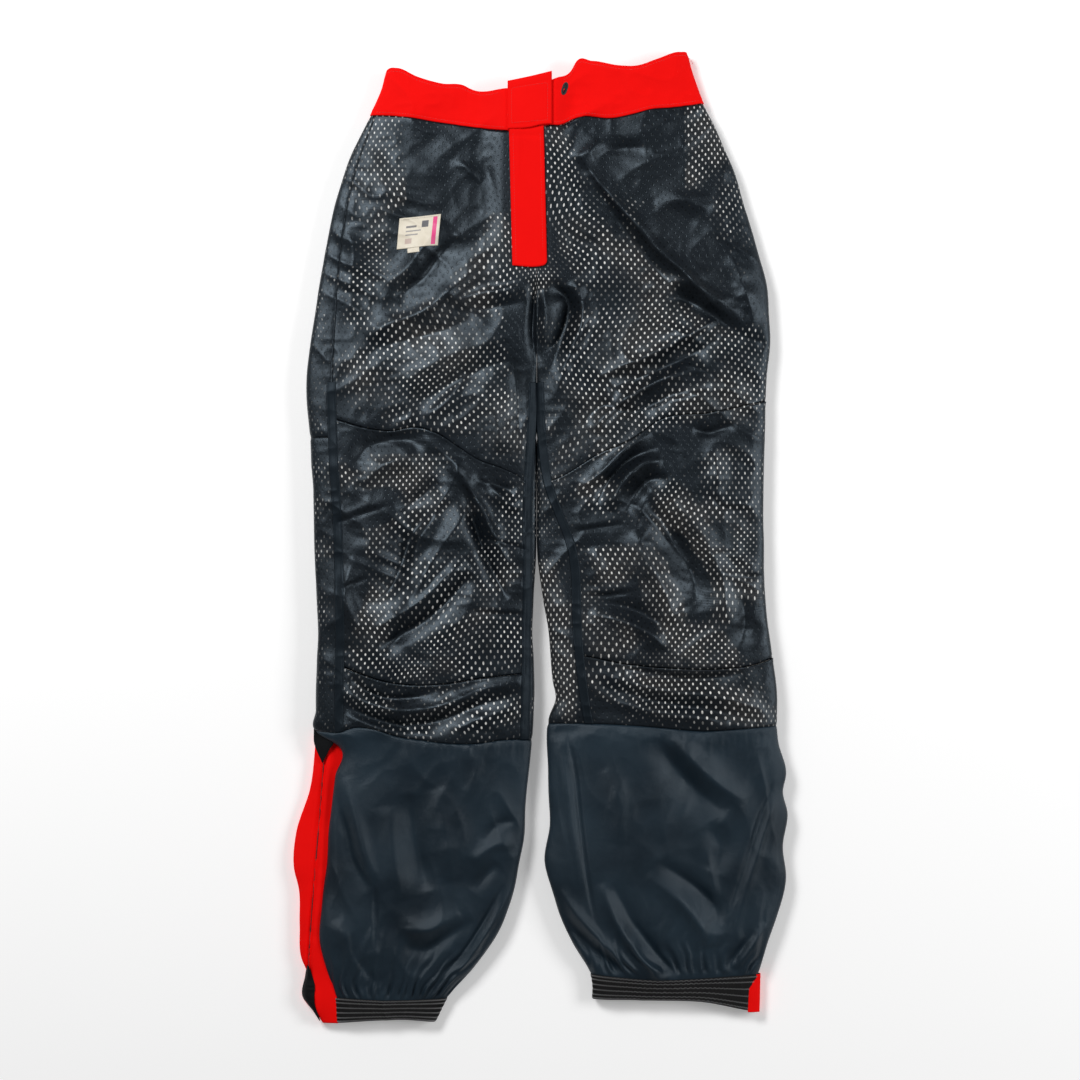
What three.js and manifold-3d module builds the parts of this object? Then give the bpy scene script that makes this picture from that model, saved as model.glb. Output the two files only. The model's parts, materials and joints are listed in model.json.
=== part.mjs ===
// Lined winter-sports trousers, turned inside out and laid flat with the front up.
// Units are millimetres. +Z is up, +Y runs towards the waist, +X is to the right as they lie.
// From the outside in lie the mesh lining (nylon gaiters below the calf), the pocket bags and the
// red shell. Each half is one flattened tube, and each panel is a patch of that tube at its own
// depth, so neighbouring layers follow each other and never cross.
import * as THREE from "three";
import Module from "manifold-3d";
import { mergeVertices } from "three/addons/utils/BufferGeometryUtils.js";

const wasm = await Module();
wasm.setup();

// ---- driving dimensions ------------------------------------------------------------------
const CUFF_HEIGHT = 26;
const GAITER_LENGTH = 281; // cuff to the seam with the mesh
const CALF_LENGTH = 186; // gaiter seam to the fold at the knee
const THIGH_LENGTH = 190; // knee fold to the fold at the crotch
const RISE = 262; // crotch fold to the waistband seam at the centre front
const BAND_HEIGHT = 50;
const WAIST_SIDE_RISE = 15; // the band is higher at the sides than at the centre
const RIGHT_WAIST_LIFT = 10; // the right half lies a little further up
const RIGHT_LEG_LIFT = 26; // the right leg end is drawn up by its own folds
const KNEE_PANEL_ABOVE = 117; // the panel's top seam above the knee fold
const KNEE_PANEL_BELOW = 116;
const KNEE_TOP_SLANT = 38; // the top seam climbs to the outer edge
const KNEE_BOTTOM_SAG = 9;

const WAIST_WIDTH = 351; // at the waistband seam
const HIP_WIDTH = 484; // at the crotch
const CENTRE_X = -3; // the centre seam, off the middle of the whole
const BODY_HALF_THICKNESS = 14;
const CUFF_HALF_THICKNESS = 9; // the elastic pulls the leg ends flatter
const HALVES_JOIN = 110; // the height over which two round legs turn into one even body
const EDGE_POWER = 4; // a higher power gives a flatter top and tighter side edges

const LINING_THICKNESS = 1;
const POCKET_THICKNESS = 0.6;
const SHELL_THICKNESS = 1;
const BAND_THICKNESS = 2.6;
const BAND_PROUD = 0.4; // the band stands above the lining by this much
const TAPE_WIDTH = 10;
const TAPE_THICKNESS = 0.6;
const GUSSET_HALF_THICKNESS = 7;
const GUSSET_WIDTH = 31;
const GUSSET_LENGTH = 295;
const GUSSET_TOP_WIDTH = 9;
const GUSSET_BELOW_SEAM = 6;
const HEM_STRIP_WIDTH = 12;
const HEM_STRIP_LENGTH = 36;
const POCKET_DEPTH = 90;
const POCKET_OUTER_ANGLE = -28; // round the tube of each half
const POCKET_INNER_ANGLE = 42;
const POCKET_BELOW_BAND = 3;
const TAPE_BELOW_CROTCH = 8;

const LAYER_GAP = 0.6; // air between two layers of cloth
const SEAM_GAP = 0.5; // between two panels that are sewn edge to edge
const FOLD_GAP = 0.7; // across the lines where the legs fold
const LEG_GAP = 1; // between the two legs below the crotch
const GUSSET_GAP = 1.5; // beside the gaiter
const STRIP_GAP = -0.6; // the hem strip's edges lie above and below the cuff's rounded side
const CUFF_PROUD = 0.6; // the elastic is bulkier than the gaiter
const CUFF_THICKNESS = 2.4;

const SHIELD_WIDTH = 38;
const SHIELD_LENGTH = 142;
const SHIELD_THICKNESS = 1.5;
const SHIELD_LEFT_X = -32;
const TAB_LENGTH = 46;
const TAB_THICKNESS = 2;
const TAB_RAISE = 2.5; // its free end rides over the press stud
const BUTTONHOLE_LENGTH = 13;
const BUTTONHOLE_WIDTH = 3;
const BUTTONHOLE_X = 26;
const BUTTONHOLE_LEVEL = 0.55; // of the band's height
const BUTTONHOLE_LEAN = THREE.MathUtils.degToRad(-17);
const STUD_RADIUS = 6;
const STUD_THICKNESS = 0.8;
const CLEARANCE = 0.35; // between small hard parts

const ZIP_X = -12;
const ZIP_LENGTH = 130;
const ZIP_BELOW_BAND = 7;
const ZIP_TAPE_WIDTH = 14;
const ZIP_TAPE_ENDS = 8; // the tapes are longer than the teeth by this much
const LINING_OVER_TAPE = 4; // the front edges lie over the tapes by this much
const FLY_CLOSES_ABOVE = 24; // the front edges start to part this far below the teeth's end
const FLY_CLOSES_BELOW = 90; // and meet in the centre seam this far below it
const ZIP_TAPE_THICKNESS = 0.6;
const TOOTH_ROW_WIDTH = 2.2;
const TOOTH_THICKNESS = 1.8;
const TOOTH_PITCH = 6.5;
const TOOTH_DEPTH = 0.7; // how far the gaps between the teeth reach into the row
const ZIP_MIDDLE_GAP = 1.3; // the slider's web runs between the two rows
const SLIDER_WIDTH = 8;
const SLIDER_LENGTH = 11;
const SLIDER_PLATE = 0.8;
const PULL_LENGTH = 15;
const PULL_WIDTH = 5;
const PULL_THICKNESS = 0.9;
const LUG_RADIUS = 1;

const LABEL_WIDTH = 43;
const LABEL_HEIGHT = 33;
const LABEL_X = -127;
const LABEL_ABOVE_CROTCH = 153;
const LABEL_TURN = THREE.MathUtils.degToRad(6);
const SIZE_TAB_X = -6; // from the label's middle
const SIZE_TAB_WIDTH = 13;
const SIZE_TAB_HEIGHT = 8;
const LABEL_THICKNESS = 0.6;

// ---- levels along the garment, from the hem up ---------------------------------------------
const LEG_LENGTH = CUFF_HEIGHT + GAITER_LENGTH + CALF_LENGTH + THIGH_LENGTH;
const TOTAL_LENGTH = LEG_LENGTH + RISE + BAND_HEIGHT + RIGHT_WAIST_LIFT + WAIST_SIDE_RISE;
const HEM_Y = -TOTAL_LENGTH / 2;
const CUFF_TOP_Y = HEM_Y + CUFF_HEIGHT;
const CALF_SEAM_Y = CUFF_TOP_Y + GAITER_LENGTH;
const KNEE_FOLD_Y = CALF_SEAM_Y + CALF_LENGTH;
const CROTCH_Y = KNEE_FOLD_Y + THIGH_LENGTH;
const BAND_SEAM_Y = CROTCH_Y + RISE;
const ZIP_TOP_Y = BAND_SEAM_Y - ZIP_BELOW_BAND;
const ZIP_BOTTOM_Y = ZIP_TOP_Y - ZIP_LENGTH;
const EVEN_Y = CROTCH_Y + HALVES_JOIN; // above this the two halves make one even tube
const TOP_Z = 2 * BODY_HALF_THICKNESS;
const SHELL_DEPTH = LINING_THICKNESS + LAYER_GAP + POCKET_THICKNESS + LAYER_GAP;
const ROW_LENGTH = 60;
const COLUMN_ANGLE = 18; // every layer shares this grid, so that their facets run parallel

// ---- materials ---------------------------------------------------------------------------
const finish = (color, roughness, metalness = 0) =>
  new THREE.MeshStandardMaterial({ color, roughness, metalness });
const MESH_CLOTH = finish(0x15181d, 0.8);
const POCKET_CLOTH = finish(0x0e1013, 0.85);
const RED_SHELL = finish(0xd80f0c, 0.6);
const NAVY_NYLON = finish(0x1a2129, 0.45);
const BLACK_ELASTIC = finish(0x202122, 0.9);
const BLACK_TAPE = finish(0x111317, 0.6);
const LABEL_SATIN = finish(0xe6dac6, 0.55);
const ZIP_CLOTH = finish(0x7c0b0a, 0.8);
const ZIP_PLASTIC = finish(0x5b0b0b, 0.4);
const METAL = finish(0x8d9095, 0.3, 1);

const garment = new THREE.Group();

// ---- helpers -----------------------------------------------------------------------------
const mix = THREE.MathUtils.lerp;
const degrees = THREE.MathUtils.radToDeg;
const radians = THREE.MathUtils.degToRad;

function add(name, geometry, material, x = 0, y = 0, z = 0, turn = 0) {
  const piece = new THREE.Mesh(geometry, material);
  piece.name = name;
  piece.position.set(x, y, z);
  piece.rotation.z = turn;
  garment.add(piece);
  return piece;
}

// A smooth curve through [position, value] pairs that are in falling order of position.
function curve(points) {
  const slopes = points.map((point, i) => {
    const before = points[Math.max(i - 1, 0)];
    const after = points[Math.min(i + 1, points.length - 1)];
    return (after[1] - before[1]) / (after[0] - before[0]);
  });
  return (at) => {
    let i = points.findIndex((point) => point[0] < at) - 1;
    if (i < -1) i = points.length - 2;
    i = Math.min(Math.max(i, 0), points.length - 2);
    const [from, to] = [points[i], points[i + 1]];
    const span = to[0] - from[0];
    const t = THREE.MathUtils.clamp((at - from[0]) / span, 0, 1);
    const rise = to[1] - from[1];
    const bend = t * (1 - t);
    const startBend = slopes[i] * span - rise;
    const endBend = rise - slopes[i + 1] * span;
    return from[1] + rise * t + bend * ((1 - t) * startBend + t * endBend);
  };
}

function closedGeometry(positions, triangles) {
  const geometry = new THREE.BufferGeometry();
  let volume = 0;
  const corner = (i) => new THREE.Vector3().fromArray(positions, 3 * i);
  for (const [a, b, c] of triangles) {
    volume += corner(a).dot(corner(b).cross(corner(c)));
  }
  const facing = volume < 0 ? triangles.map(([a, b, c]) => [a, c, b]) : triangles;
  geometry.setAttribute("position", new THREE.Float32BufferAttribute(positions, 3));
  geometry.setIndex(facing.flat());
  geometry.computeVertexNormals();
  return geometry;
}

// A sheet of cloth. rail(i, t, depth) gives the point on lengthwise grid line i, at t from 0 to 1.
function sheet(rail, columns, rows, depth, thickness, closed = false) {
  const lines = closed ? columns : columns + 1;
  const positions = [];
  for (const layer of [depth, depth + thickness]) {
    for (let i = 0; i < lines; i++) {
      for (let j = 0; j <= rows; j++) {
        positions.push(...rail(i, j / rows, layer).toArray());
      }
    }
  }
  const size = lines * (rows + 1);
  const at = (layer, i, j) => layer * size + (i % lines) * (rows + 1) + j;
  const triangles = [];
  const quad = (a, b, c, d) => triangles.push([a, b, c], [a, c, d]);
  for (let i = 0; i < columns; i++) {
    for (let j = 0; j < rows; j++) {
      quad(at(0, i, j), at(0, i + 1, j), at(0, i + 1, j + 1), at(0, i, j + 1));
      quad(at(1, i, j), at(1, i, j + 1), at(1, i + 1, j + 1), at(1, i + 1, j));
    }
    quad(at(0, i, 0), at(1, i, 0), at(1, i + 1, 0), at(0, i + 1, 0));
    quad(at(0, i, rows), at(0, i + 1, rows), at(1, i + 1, rows), at(1, i, rows));
  }
  if (!closed) {
    for (let j = 0; j < rows; j++) {
      quad(at(0, 0, j), at(0, 0, j + 1), at(1, 0, j + 1), at(1, 0, j));
      quad(at(0, lines - 1, j), at(1, lines - 1, j), at(1, lines - 1, j + 1), at(0, lines - 1, j + 1));
    }
  }
  return closedGeometry(positions, triangles);
}

function toSolid(geometry) {
  const bare = geometry.clone();
  bare.deleteAttribute("normal");
  bare.deleteAttribute("uv");
  const merged = mergeVertices(bare, 1e-3);
  return new wasm.Manifold(
    new wasm.Mesh({
      numProp: 3,
      vertProperties: new Float32Array(merged.attributes.position.array),
      triVerts: new Uint32Array(merged.index.array),
    })
  );
}

function toGeometry(solid) {
  const mesh = solid.getMesh();
  const geometry = new THREE.BufferGeometry();
  geometry.setAttribute("position", new THREE.Float32BufferAttribute(mesh.vertProperties, 3));
  geometry.setIndex(Array.from(mesh.triVerts));
  geometry.computeVertexNormals();
  return geometry;
}

function block(width, length, height, x = 0, y = 0, z = 0) {
  return new THREE.BoxGeometry(width, length, height).translate(x, y, z);
}

// ---- the two halves: outlines by level ------------------------------------------------------
const waistLeft = CENTRE_X - WAIST_WIDTH / 2;
const waistRight = CENTRE_X + WAIST_WIDTH / 2;
const hipLeft = CENTRE_X - HIP_WIDTH / 2;
const hipRight = CENTRE_X + HIP_WIDTH / 2;
const hipY = mix(CROTCH_Y, BAND_SEAM_Y, 0.6);
const shinY = mix(CALF_SEAM_Y, CUFF_TOP_Y, 0.4);
const ankleY = mix(CALF_SEAM_Y, CUFF_TOP_Y, 0.77);

const LEFT = {
  name: "left",
  inward: 1,
  lift: 0,
  waistLift: 0,
  outer: curve([
    [BAND_SEAM_Y + BAND_HEIGHT + 15, waistLeft + 14],
    [BAND_SEAM_Y + WAIST_SIDE_RISE, waistLeft],
    [hipY, waistLeft - 42],
    [CROTCH_Y, hipLeft],
    [KNEE_FOLD_Y, hipLeft + 8],
    [CALF_SEAM_Y, hipLeft + 13],
    [shinY, hipLeft + 22],
    [ankleY, hipLeft + 14],
    [CUFF_TOP_Y, hipLeft + 29],
    [HEM_Y, hipLeft + 31],
  ]),
  inner: curve([
    [CROTCH_Y, CENTRE_X - LEG_GAP / 2],
    [KNEE_FOLD_Y, CENTRE_X - 4],
    [CALF_SEAM_Y, CENTRE_X - 5],
    [shinY, CENTRE_X - 14],
    [ankleY, CENTRE_X - 44],
    [CUFF_TOP_Y, CENTRE_X - 97],
    [HEM_Y, CENTRE_X - 107],
  ]),
  outseam: () => -52,
  inseam: () => 71,
};

const RIGHT = {
  name: "right",
  inward: -1,
  lift: RIGHT_LEG_LIFT,
  waistLift: RIGHT_WAIST_LIFT,
  outer: curve([
    [BAND_SEAM_Y + BAND_HEIGHT + 25, waistRight - 14],
    [BAND_SEAM_Y + WAIST_SIDE_RISE + RIGHT_WAIST_LIFT, waistRight],
    [hipY, waistRight + 42],
    [CROTCH_Y, hipRight],
    [KNEE_FOLD_Y, hipRight - 2],
    [CALF_SEAM_Y, hipRight + 12],
    [shinY, hipRight + 18],
    [ankleY, hipRight + 6],
    [CUFF_TOP_Y + RIGHT_LEG_LIFT, hipRight - 15],
    [HEM_Y, hipRight - 18],
  ]),
  inner: curve([
    [CROTCH_Y, CENTRE_X + LEG_GAP / 2],
    [KNEE_FOLD_Y, CENTRE_X + 3],
    [CALF_SEAM_Y, CENTRE_X + 12],
    [shinY, CENTRE_X + 11],
    [ankleY, CENTRE_X + 32],
    [CUFF_TOP_Y + RIGHT_LEG_LIFT, CENTRE_X + 57],
    [HEM_Y, CENTRE_X + 57],
  ]),
  outseam: () => -90,
  inseam: () => 45,
};
const HALVES = [LEFT, RIGHT];

const halfThickness = curve([
  [CALF_SEAM_Y, BODY_HALF_THICKNESS],
  [shinY, BODY_HALF_THICKNESS],
  [CUFF_TOP_Y, CUFF_HALF_THICKNESS],
  [HEM_Y, CUFF_HALF_THICKNESS],
]);

const middle = (half, y) => (half.outer(y) + half.inner(y)) / 2;
const halfWidth = (half, y) => Math.abs(half.outer(y) - half.inner(y)) / 2;

// Angle -90 is the outer edge, 0 the middle of the front, 90 the inner edge, 180 the back.
function tubePoint(half, angle, y, depth) {
  const side = Math.sin(radians(angle));
  const front = Math.cos(radians(angle)) >= 0 ? 1 : -1;
  const even = side > 0 ? THREE.MathUtils.smoothstep(y, CROTCH_Y, EVEN_Y) : 0;
  const width = halfWidth(half, y) - depth * (1 - even);
  const height = halfThickness(y) - depth;
  const round = Math.pow(Math.max(1 - Math.abs(side) ** EDGE_POWER, 0), 1 / EDGE_POWER);
  return new THREE.Vector3(
    middle(half, y) + half.inward * width * side,
    y,
    halfThickness(y) + front * height * mix(round, 1, even)
  );
}

function angleAt(half, x, y) {
  const side = ((x - middle(half, y)) * half.inward) / halfWidth(half, y);
  return degrees(Math.asin(THREE.MathUtils.clamp(side, -1, 1)));
}

// The angle that leaves half a seam's gap, or another distance, beside a seam.
function beside(half, angle, y, distance) {
  const lean = Math.max(Math.abs(Math.cos(radians(angle))), 0.09);
  return angle + degrees(distance / (halfWidth(half, y) * lean));
}

// A panel between two seams (angles by level) and two cross edges (levels by side, -1 outer to 1 inner).
function panel(half, from, to, top, bottom, depth, thickness, closed = false) {
  const [highest, lowest] = [top(0), bottom(0)];
  const start = Math.floor(Math.max(from(highest), from(lowest)) / COLUMN_ANGLE + 1.2);
  const end = Math.ceil(Math.min(to(highest), to(lowest)) / COLUMN_ANGLE - 1.2);
  const columns = end - start + 2;
  const rows = Math.max(1, Math.ceil((highest - lowest) / ROW_LENGTH));
  const rail = (i, t, layer) => {
    const level = mix(highest, lowest, t);
    const inside = (start + i - 1) * COLUMN_ANGLE;
    const angle = i === 0 ? from(level) : i === columns ? to(level) : inside;
    const side = Math.sin(radians(angle));
    return tubePoint(half, angle, mix(top(side), bottom(side), t), layer);
  };
  return sheet(rail, columns, rows, depth, thickness, closed);
}

const level = (y) => () => y;
const bandSeam = (half) => (side) =>
  BAND_SEAM_Y + half.waistLift + (WAIST_SIDE_RISE * (1 - side)) / 2;
const kneeTop = (side) => KNEE_FOLD_Y + KNEE_PANEL_ABOVE - KNEE_TOP_SLANT * side;
const kneeBottom = (side) =>
  KNEE_FOLD_Y - KNEE_PANEL_BELOW - KNEE_BOTTOM_SAG * Math.sqrt(Math.max(1 - side * side, 0));
const lower = (edge, distance) => (side) => edge(side) - distance;

// ---- front edges at the fly ----------------------------------------------------------------
const FLY_EDGE =
  ZIP_MIDDLE_GAP / 2 + TOOTH_ROW_WIDTH + CLEARANCE + ZIP_TAPE_WIDTH - LINING_OVER_TAPE;
const CENTRE_ANGLE_GAP = 2; // degrees left free beside an edge where the tube turns inwards
function flyEdge(half) {
  const closed = ZIP_BOTTOM_Y - FLY_CLOSES_BELOW;
  const open = (y) => THREE.MathUtils.smoothstep(y, closed, ZIP_BOTTOM_Y - FLY_CLOSES_ABOVE);
  const openX = ZIP_X - half.inward * FLY_EDGE;
  const closedX = CENTRE_X - half.inward * SEAM_GAP;
  const edgeX = (y) => mix(closedX, openX, open(y));
  return (y) => angleAt(half, edgeX(y), Math.max(y, CROTCH_Y)) - CENTRE_ANGLE_GAP;
}

// ---- panels of each half ---------------------------------------------------------------------
for (const half of HALVES) {
  const side = half.name;
  const seamHalf = SEAM_GAP / 2;
  const frontOuter = (y) => beside(half, half.outseam(y), y, seamHalf);
  const frontInner = (y) => beside(half, half.inseam(y), y, -seamHalf);
  const backInner = (y) => beside(half, half.inseam(y), y, seamHalf);
  const backOuter = (y) => beside(half, half.outseam(y), y, -seamHalf) + 360;
  const centreX = CENTRE_X - half.inward * SEAM_GAP;
  const backCentre = (y) =>
    180 - angleAt(half, centreX, Math.max(y, CROTCH_Y)) + CENTRE_ANGLE_GAP;
  const flyInner = flyEdge(half);
  const bandBottom = lower(bandSeam(half), SEAM_GAP);
  const crotch = [level(CROTCH_Y + FOLD_GAP / 2), level(CROTCH_Y - FOLD_GAP / 2)];
  const knee = [level(KNEE_FOLD_Y + FOLD_GAP / 2), level(KNEE_FOLD_Y - FOLD_GAP / 2)];
  const kneeBottomEdge = lower(kneeBottom, SEAM_GAP);
  const calfEnd = level(CALF_SEAM_Y + SEAM_GAP);
  const cuffTop = CUFF_TOP_Y + half.lift;
  const gaiterEnds = [level(CALF_SEAM_Y), level(cuffTop + SEAM_GAP / 2)];

  const linings = [
    ["hip_lining_front", frontOuter, flyInner, bandBottom, crotch[0]],
    ["hip_lining_back", backCentre, backOuter, bandBottom, crotch[0]],
    ["thigh_lining_front", frontOuter, frontInner, crotch[1], kneeTop],
    ["thigh_lining_back", backInner, backOuter, crotch[1], knee[0]],
    ["knee_panel_upper", frontOuter, frontInner, lower(kneeTop, SEAM_GAP), knee[0]],
    ["knee_panel_lower", frontOuter, frontInner, knee[1], kneeBottom],
    ["calf_lining_front", frontOuter, frontInner, kneeBottomEdge, calfEnd],
    ["calf_lining_back", backInner, backOuter, knee[1], calfEnd],
  ];
  for (const [name, from, to, top, bottom] of linings) {
    add(`${name}_${side}`, panel(half, from, to, top, bottom, 0, LINING_THICKNESS), MESH_CLOTH);
  }

  const outerEdge = (y) => beside(half, -90, y, seamHalf);
  const shellBack = (y) => beside(half, -90, y, -seamHalf) + 360;
  const around = [level(-180), level(180)];
  const shells = [
    ["hip_shell_front", outerEdge, flyInner, bandBottom, crotch[0], false],
    ["hip_shell_back", backCentre, shellBack, bandBottom, crotch[0], false],
    ["thigh_shell", ...around, crotch[1], knee[0], true],
    ["shank_shell", ...around, knee[1], calfEnd, true],
    ["ankle_shell", ...around, ...gaiterEnds, true],
  ];
  for (const [name, from, to, top, bottom, closed] of shells) {
    const cloth = panel(half, from, to, top, bottom, SHELL_DEPTH, SHELL_THICKNESS, closed);
    add(`${name}_${side}`, cloth, RED_SHELL);
  }

  // Pocket bag, hanging from the waistband between lining and shell.
  const pocketTop = lower(bandSeam(half), POCKET_BELOW_BAND);
  const pocket = panel(
    half, level(POCKET_OUTER_ANGLE), level(POCKET_INNER_ANGLE), pocketTop, lower(pocketTop, POCKET_DEPTH),
    LINING_THICKNESS + LAYER_GAP, POCKET_THICKNESS
  );
  add(`pocket_bag_${side}`, pocket, POCKET_CLOTH);

  // Seam tapes over the lining, one length on each side of the knee fold.
  const tapes = [["inseam_tape", half.inseam]];
  if (half === LEFT) tapes.push(["outseam_tape", half.outseam]);
  for (const [name, seam] of tapes) {
    const from = (y) => beside(half, seam(y), y, -TAPE_WIDTH / 2);
    const to = (y) => beside(half, seam(y), y, TAPE_WIDTH / 2);
    const depth = -LAYER_GAP - TAPE_THICKNESS;
    const tapeTop = level(CROTCH_Y - TAPE_BELOW_CROTCH);
    const thighTape = panel(half, from, to, tapeTop, knee[0], depth, TAPE_THICKNESS);
    const calfTape = panel(half, from, to, knee[1], calfEnd, depth, TAPE_THICKNESS);
    add(`${name}_thigh_${side}`, thighTape, BLACK_TAPE);
    add(`${name}_calf_${side}`, calfTape, BLACK_TAPE);
  }

  const gaiter = panel(half, ...around, ...gaiterEnds, 0, LINING_THICKNESS, true);
  add(`gaiter_${side}`, gaiter, NAVY_NYLON);
  const cuffEnds = [level(cuffTop - SEAM_GAP / 2), level(cuffTop - CUFF_HEIGHT)];
  const cuff = panel(half, ...around, ...cuffEnds, -CUFF_PROUD, CUFF_THICKNESS, true);
  add(`cuff_${side}`, cuff, BLACK_ELASTIC);
}

// ---- waistband -------------------------------------------------------------------------------
const BAND_TOP_Z = TOP_Z + BAND_PROUD;
const TAB_LEFT_X = SHIELD_LEFT_X - 2;
const bandTop = (half) => lower(bandSeam(half), -BAND_HEIGHT);

const bandOuter = (half) => (y) => beside(half, -90, y, SEAM_GAP / 2);
const bandLeft = panel(
  LEFT, bandOuter(LEFT), (y) => angleAt(LEFT, TAB_LEFT_X - CLEARANCE, y),
  bandTop(LEFT), bandSeam(LEFT), -BAND_PROUD, BAND_THICKNESS
);
add("waistband_front_left", bandLeft, RED_SHELL);

// The right half of the band runs on under the tab, and holds the buttonhole.
const bandRight = panel(
  RIGHT, bandOuter(RIGHT), level(90 - CENTRE_ANGLE_GAP),
  bandTop(RIGHT), bandSeam(RIGHT), -BAND_PROUD, BAND_THICKNESS
);
const buttonholeY = BAND_SEAM_Y + RIGHT_WAIST_LIFT + BAND_HEIGHT * BUTTONHOLE_LEVEL;
const buttonhole = block(BUTTONHOLE_WIDTH, BUTTONHOLE_LENGTH, BAND_THICKNESS * 3);
buttonhole.rotateZ(BUTTONHOLE_LEAN).translate(BUTTONHOLE_X, buttonholeY, TOP_Z);
add("waistband_front_right", toGeometry(toSolid(bandRight).subtract(toSolid(buttonhole))), RED_SHELL);

// The back of the band runs across both halves in one piece.
function backBand() {
  const steps = 7;
  const columns = 4 * steps + 1;
  const rail = (i, t, depth) => {
    const half = i <= 2 * steps ? LEFT : RIGHT;
    const along = half === LEFT ? i / (2 * steps) : (columns - i) / (2 * steps);
    const outer = beside(half, 270, bandSeam(half)(-1), -SEAM_GAP / 2);
    const angle = mix(outer, 90 + CENTRE_ANGLE_GAP, along);
    const side = Math.sin(radians(angle));
    const y = mix(bandTop(half)(side), bandSeam(half)(side), t);
    return tubePoint(half, angle, y, depth);
  };
  return sheet(rail, columns, 2, -BAND_PROUD, BAND_THICKNESS);
}
add("waistband_back", backBand(), RED_SHELL);

// ---- waist tab with its press stud -------------------------------------------------------------
const tabBottomY = BAND_SEAM_Y + 2;
const tabHeight = BAND_HEIGHT - 1;
const tabLowZ = BAND_TOP_Z + CLEARANCE;
const tabHighZ = tabLowZ + TAB_RAISE;
const tabRise = 5; // from here to about twice as far along, the tab climbs to its raised part
const tabProfile = new THREE.Shape([
  new THREE.Vector2(0, tabLowZ),
  new THREE.Vector2(tabRise, tabLowZ),
  new THREE.Vector2(2 * tabRise + 2, tabHighZ),
  new THREE.Vector2(TAB_LENGTH, tabHighZ),
  new THREE.Vector2(TAB_LENGTH, tabHighZ + TAB_THICKNESS),
  new THREE.Vector2(2 * tabRise + 1, tabHighZ + TAB_THICKNESS),
  new THREE.Vector2(tabRise - 1, tabLowZ + TAB_THICKNESS),
  new THREE.Vector2(0, tabLowZ + TAB_THICKNESS),
]);
const tab = new THREE.ExtrudeGeometry(tabProfile, { depth: tabHeight, bevelEnabled: false });
tab.rotateX(Math.PI / 2);
add("waist_tab", tab, RED_SHELL, TAB_LEFT_X, tabBottomY + tabHeight, 0);

const studX = TAB_LEFT_X + TAB_LENGTH - STUD_RADIUS - 2;
const studY = tabBottomY + tabHeight / 2;
function disc() {
  const round = new THREE.CylinderGeometry(STUD_RADIUS, STUD_RADIUS, STUD_THICKNESS, 20);
  return round.rotateX(Math.PI / 2);
}
add("snap_socket", disc(), METAL, studX, studY, BAND_TOP_Z + CLEARANCE + STUD_THICKNESS / 2);
add("snap_stud", disc(), METAL, studX, studY, tabHighZ - CLEARANCE - STUD_THICKNESS / 2);

// ---- fly shield ----------------------------------------------------------------------------------
const shieldTopY = BAND_SEAM_Y - 1;
const shieldBottomY = shieldTopY - SHIELD_LENGTH;
const shieldCorner = 10;
const shieldShape = new THREE.Shape();
shieldShape.moveTo(0, 0);
shieldShape.lineTo(SHIELD_WIDTH - shieldCorner, 0);
shieldShape.quadraticCurveTo(SHIELD_WIDTH, 0, SHIELD_WIDTH, shieldCorner);
shieldShape.lineTo(SHIELD_WIDTH, SHIELD_LENGTH);
shieldShape.lineTo(0, SHIELD_LENGTH);
const shield = new THREE.ExtrudeGeometry(shieldShape, {
  depth: SHIELD_THICKNESS,
  bevelEnabled: false,
  curveSegments: 4,
});
const SHIELD_Z = TOP_Z + CLEARANCE;
add("fly_shield", shield, RED_SHELL, SHIELD_LEFT_X, shieldBottomY, SHIELD_Z + CLEARANCE);

// ---- fly zip: two tapes, two rows of teeth, stop, slider and pull --------------------------------
const ZIP_Z = TOP_Z - LINING_THICKNESS - CLEARANCE - ZIP_TAPE_THICKNESS / 2;
const zipMiddleY = (ZIP_TOP_Y + ZIP_BOTTOM_Y) / 2;
const TOOTH_COUNT = Math.floor(ZIP_LENGTH / TOOTH_PITCH);
const TOOTH_SLOPE = 0.2; // of the pitch, from a gap's middle up to a tooth's face
function toothRow() {
  const row = new THREE.Shape();
  row.moveTo(TOOTH_ROW_WIDTH, 0);
  row.lineTo(TOOTH_ROW_WIDTH, TOOTH_COUNT * TOOTH_PITCH);
  for (let i = TOOTH_COUNT; i > 0; i--) {
    const y = i * TOOTH_PITCH;
    row.lineTo(TOOTH_DEPTH, y);
    row.lineTo(0, y - TOOTH_PITCH * TOOTH_SLOPE);
    row.lineTo(0, y - TOOTH_PITCH * (1 - TOOTH_SLOPE));
  }
  row.lineTo(TOOTH_DEPTH, 0);
  return new THREE.ExtrudeGeometry(row, { depth: TOOTH_THICKNESS, bevelEnabled: false });
}
for (const [side, way] of [["left", -1], ["right", 1]]) {
  const row = toothRow().translate(ZIP_MIDDLE_GAP / 2, 0, -TOOTH_THICKNESS / 2);
  if (way < 0) row.rotateZ(Math.PI).translate(0, TOOTH_COUNT * TOOTH_PITCH, 0);
  add(`fly_zip_teeth_${side}`, row, ZIP_PLASTIC, ZIP_X, ZIP_BOTTOM_Y, ZIP_Z);
  const tapeX = ZIP_MIDDLE_GAP / 2 + TOOTH_ROW_WIDTH + CLEARANCE + ZIP_TAPE_WIDTH / 2;
  const tape = block(ZIP_TAPE_WIDTH, ZIP_LENGTH + ZIP_TAPE_ENDS, ZIP_TAPE_THICKNESS, way * tapeX, 0, 0);
  add(`fly_zip_tape_${side}`, tape, ZIP_CLOTH, ZIP_X, zipMiddleY - ZIP_TAPE_ENDS / 4, ZIP_Z);
}
const stopLength = 3;
const stop = block(2 * TOOTH_ROW_WIDTH + ZIP_MIDDLE_GAP, stopLength, TOOTH_THICKNESS);
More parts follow.
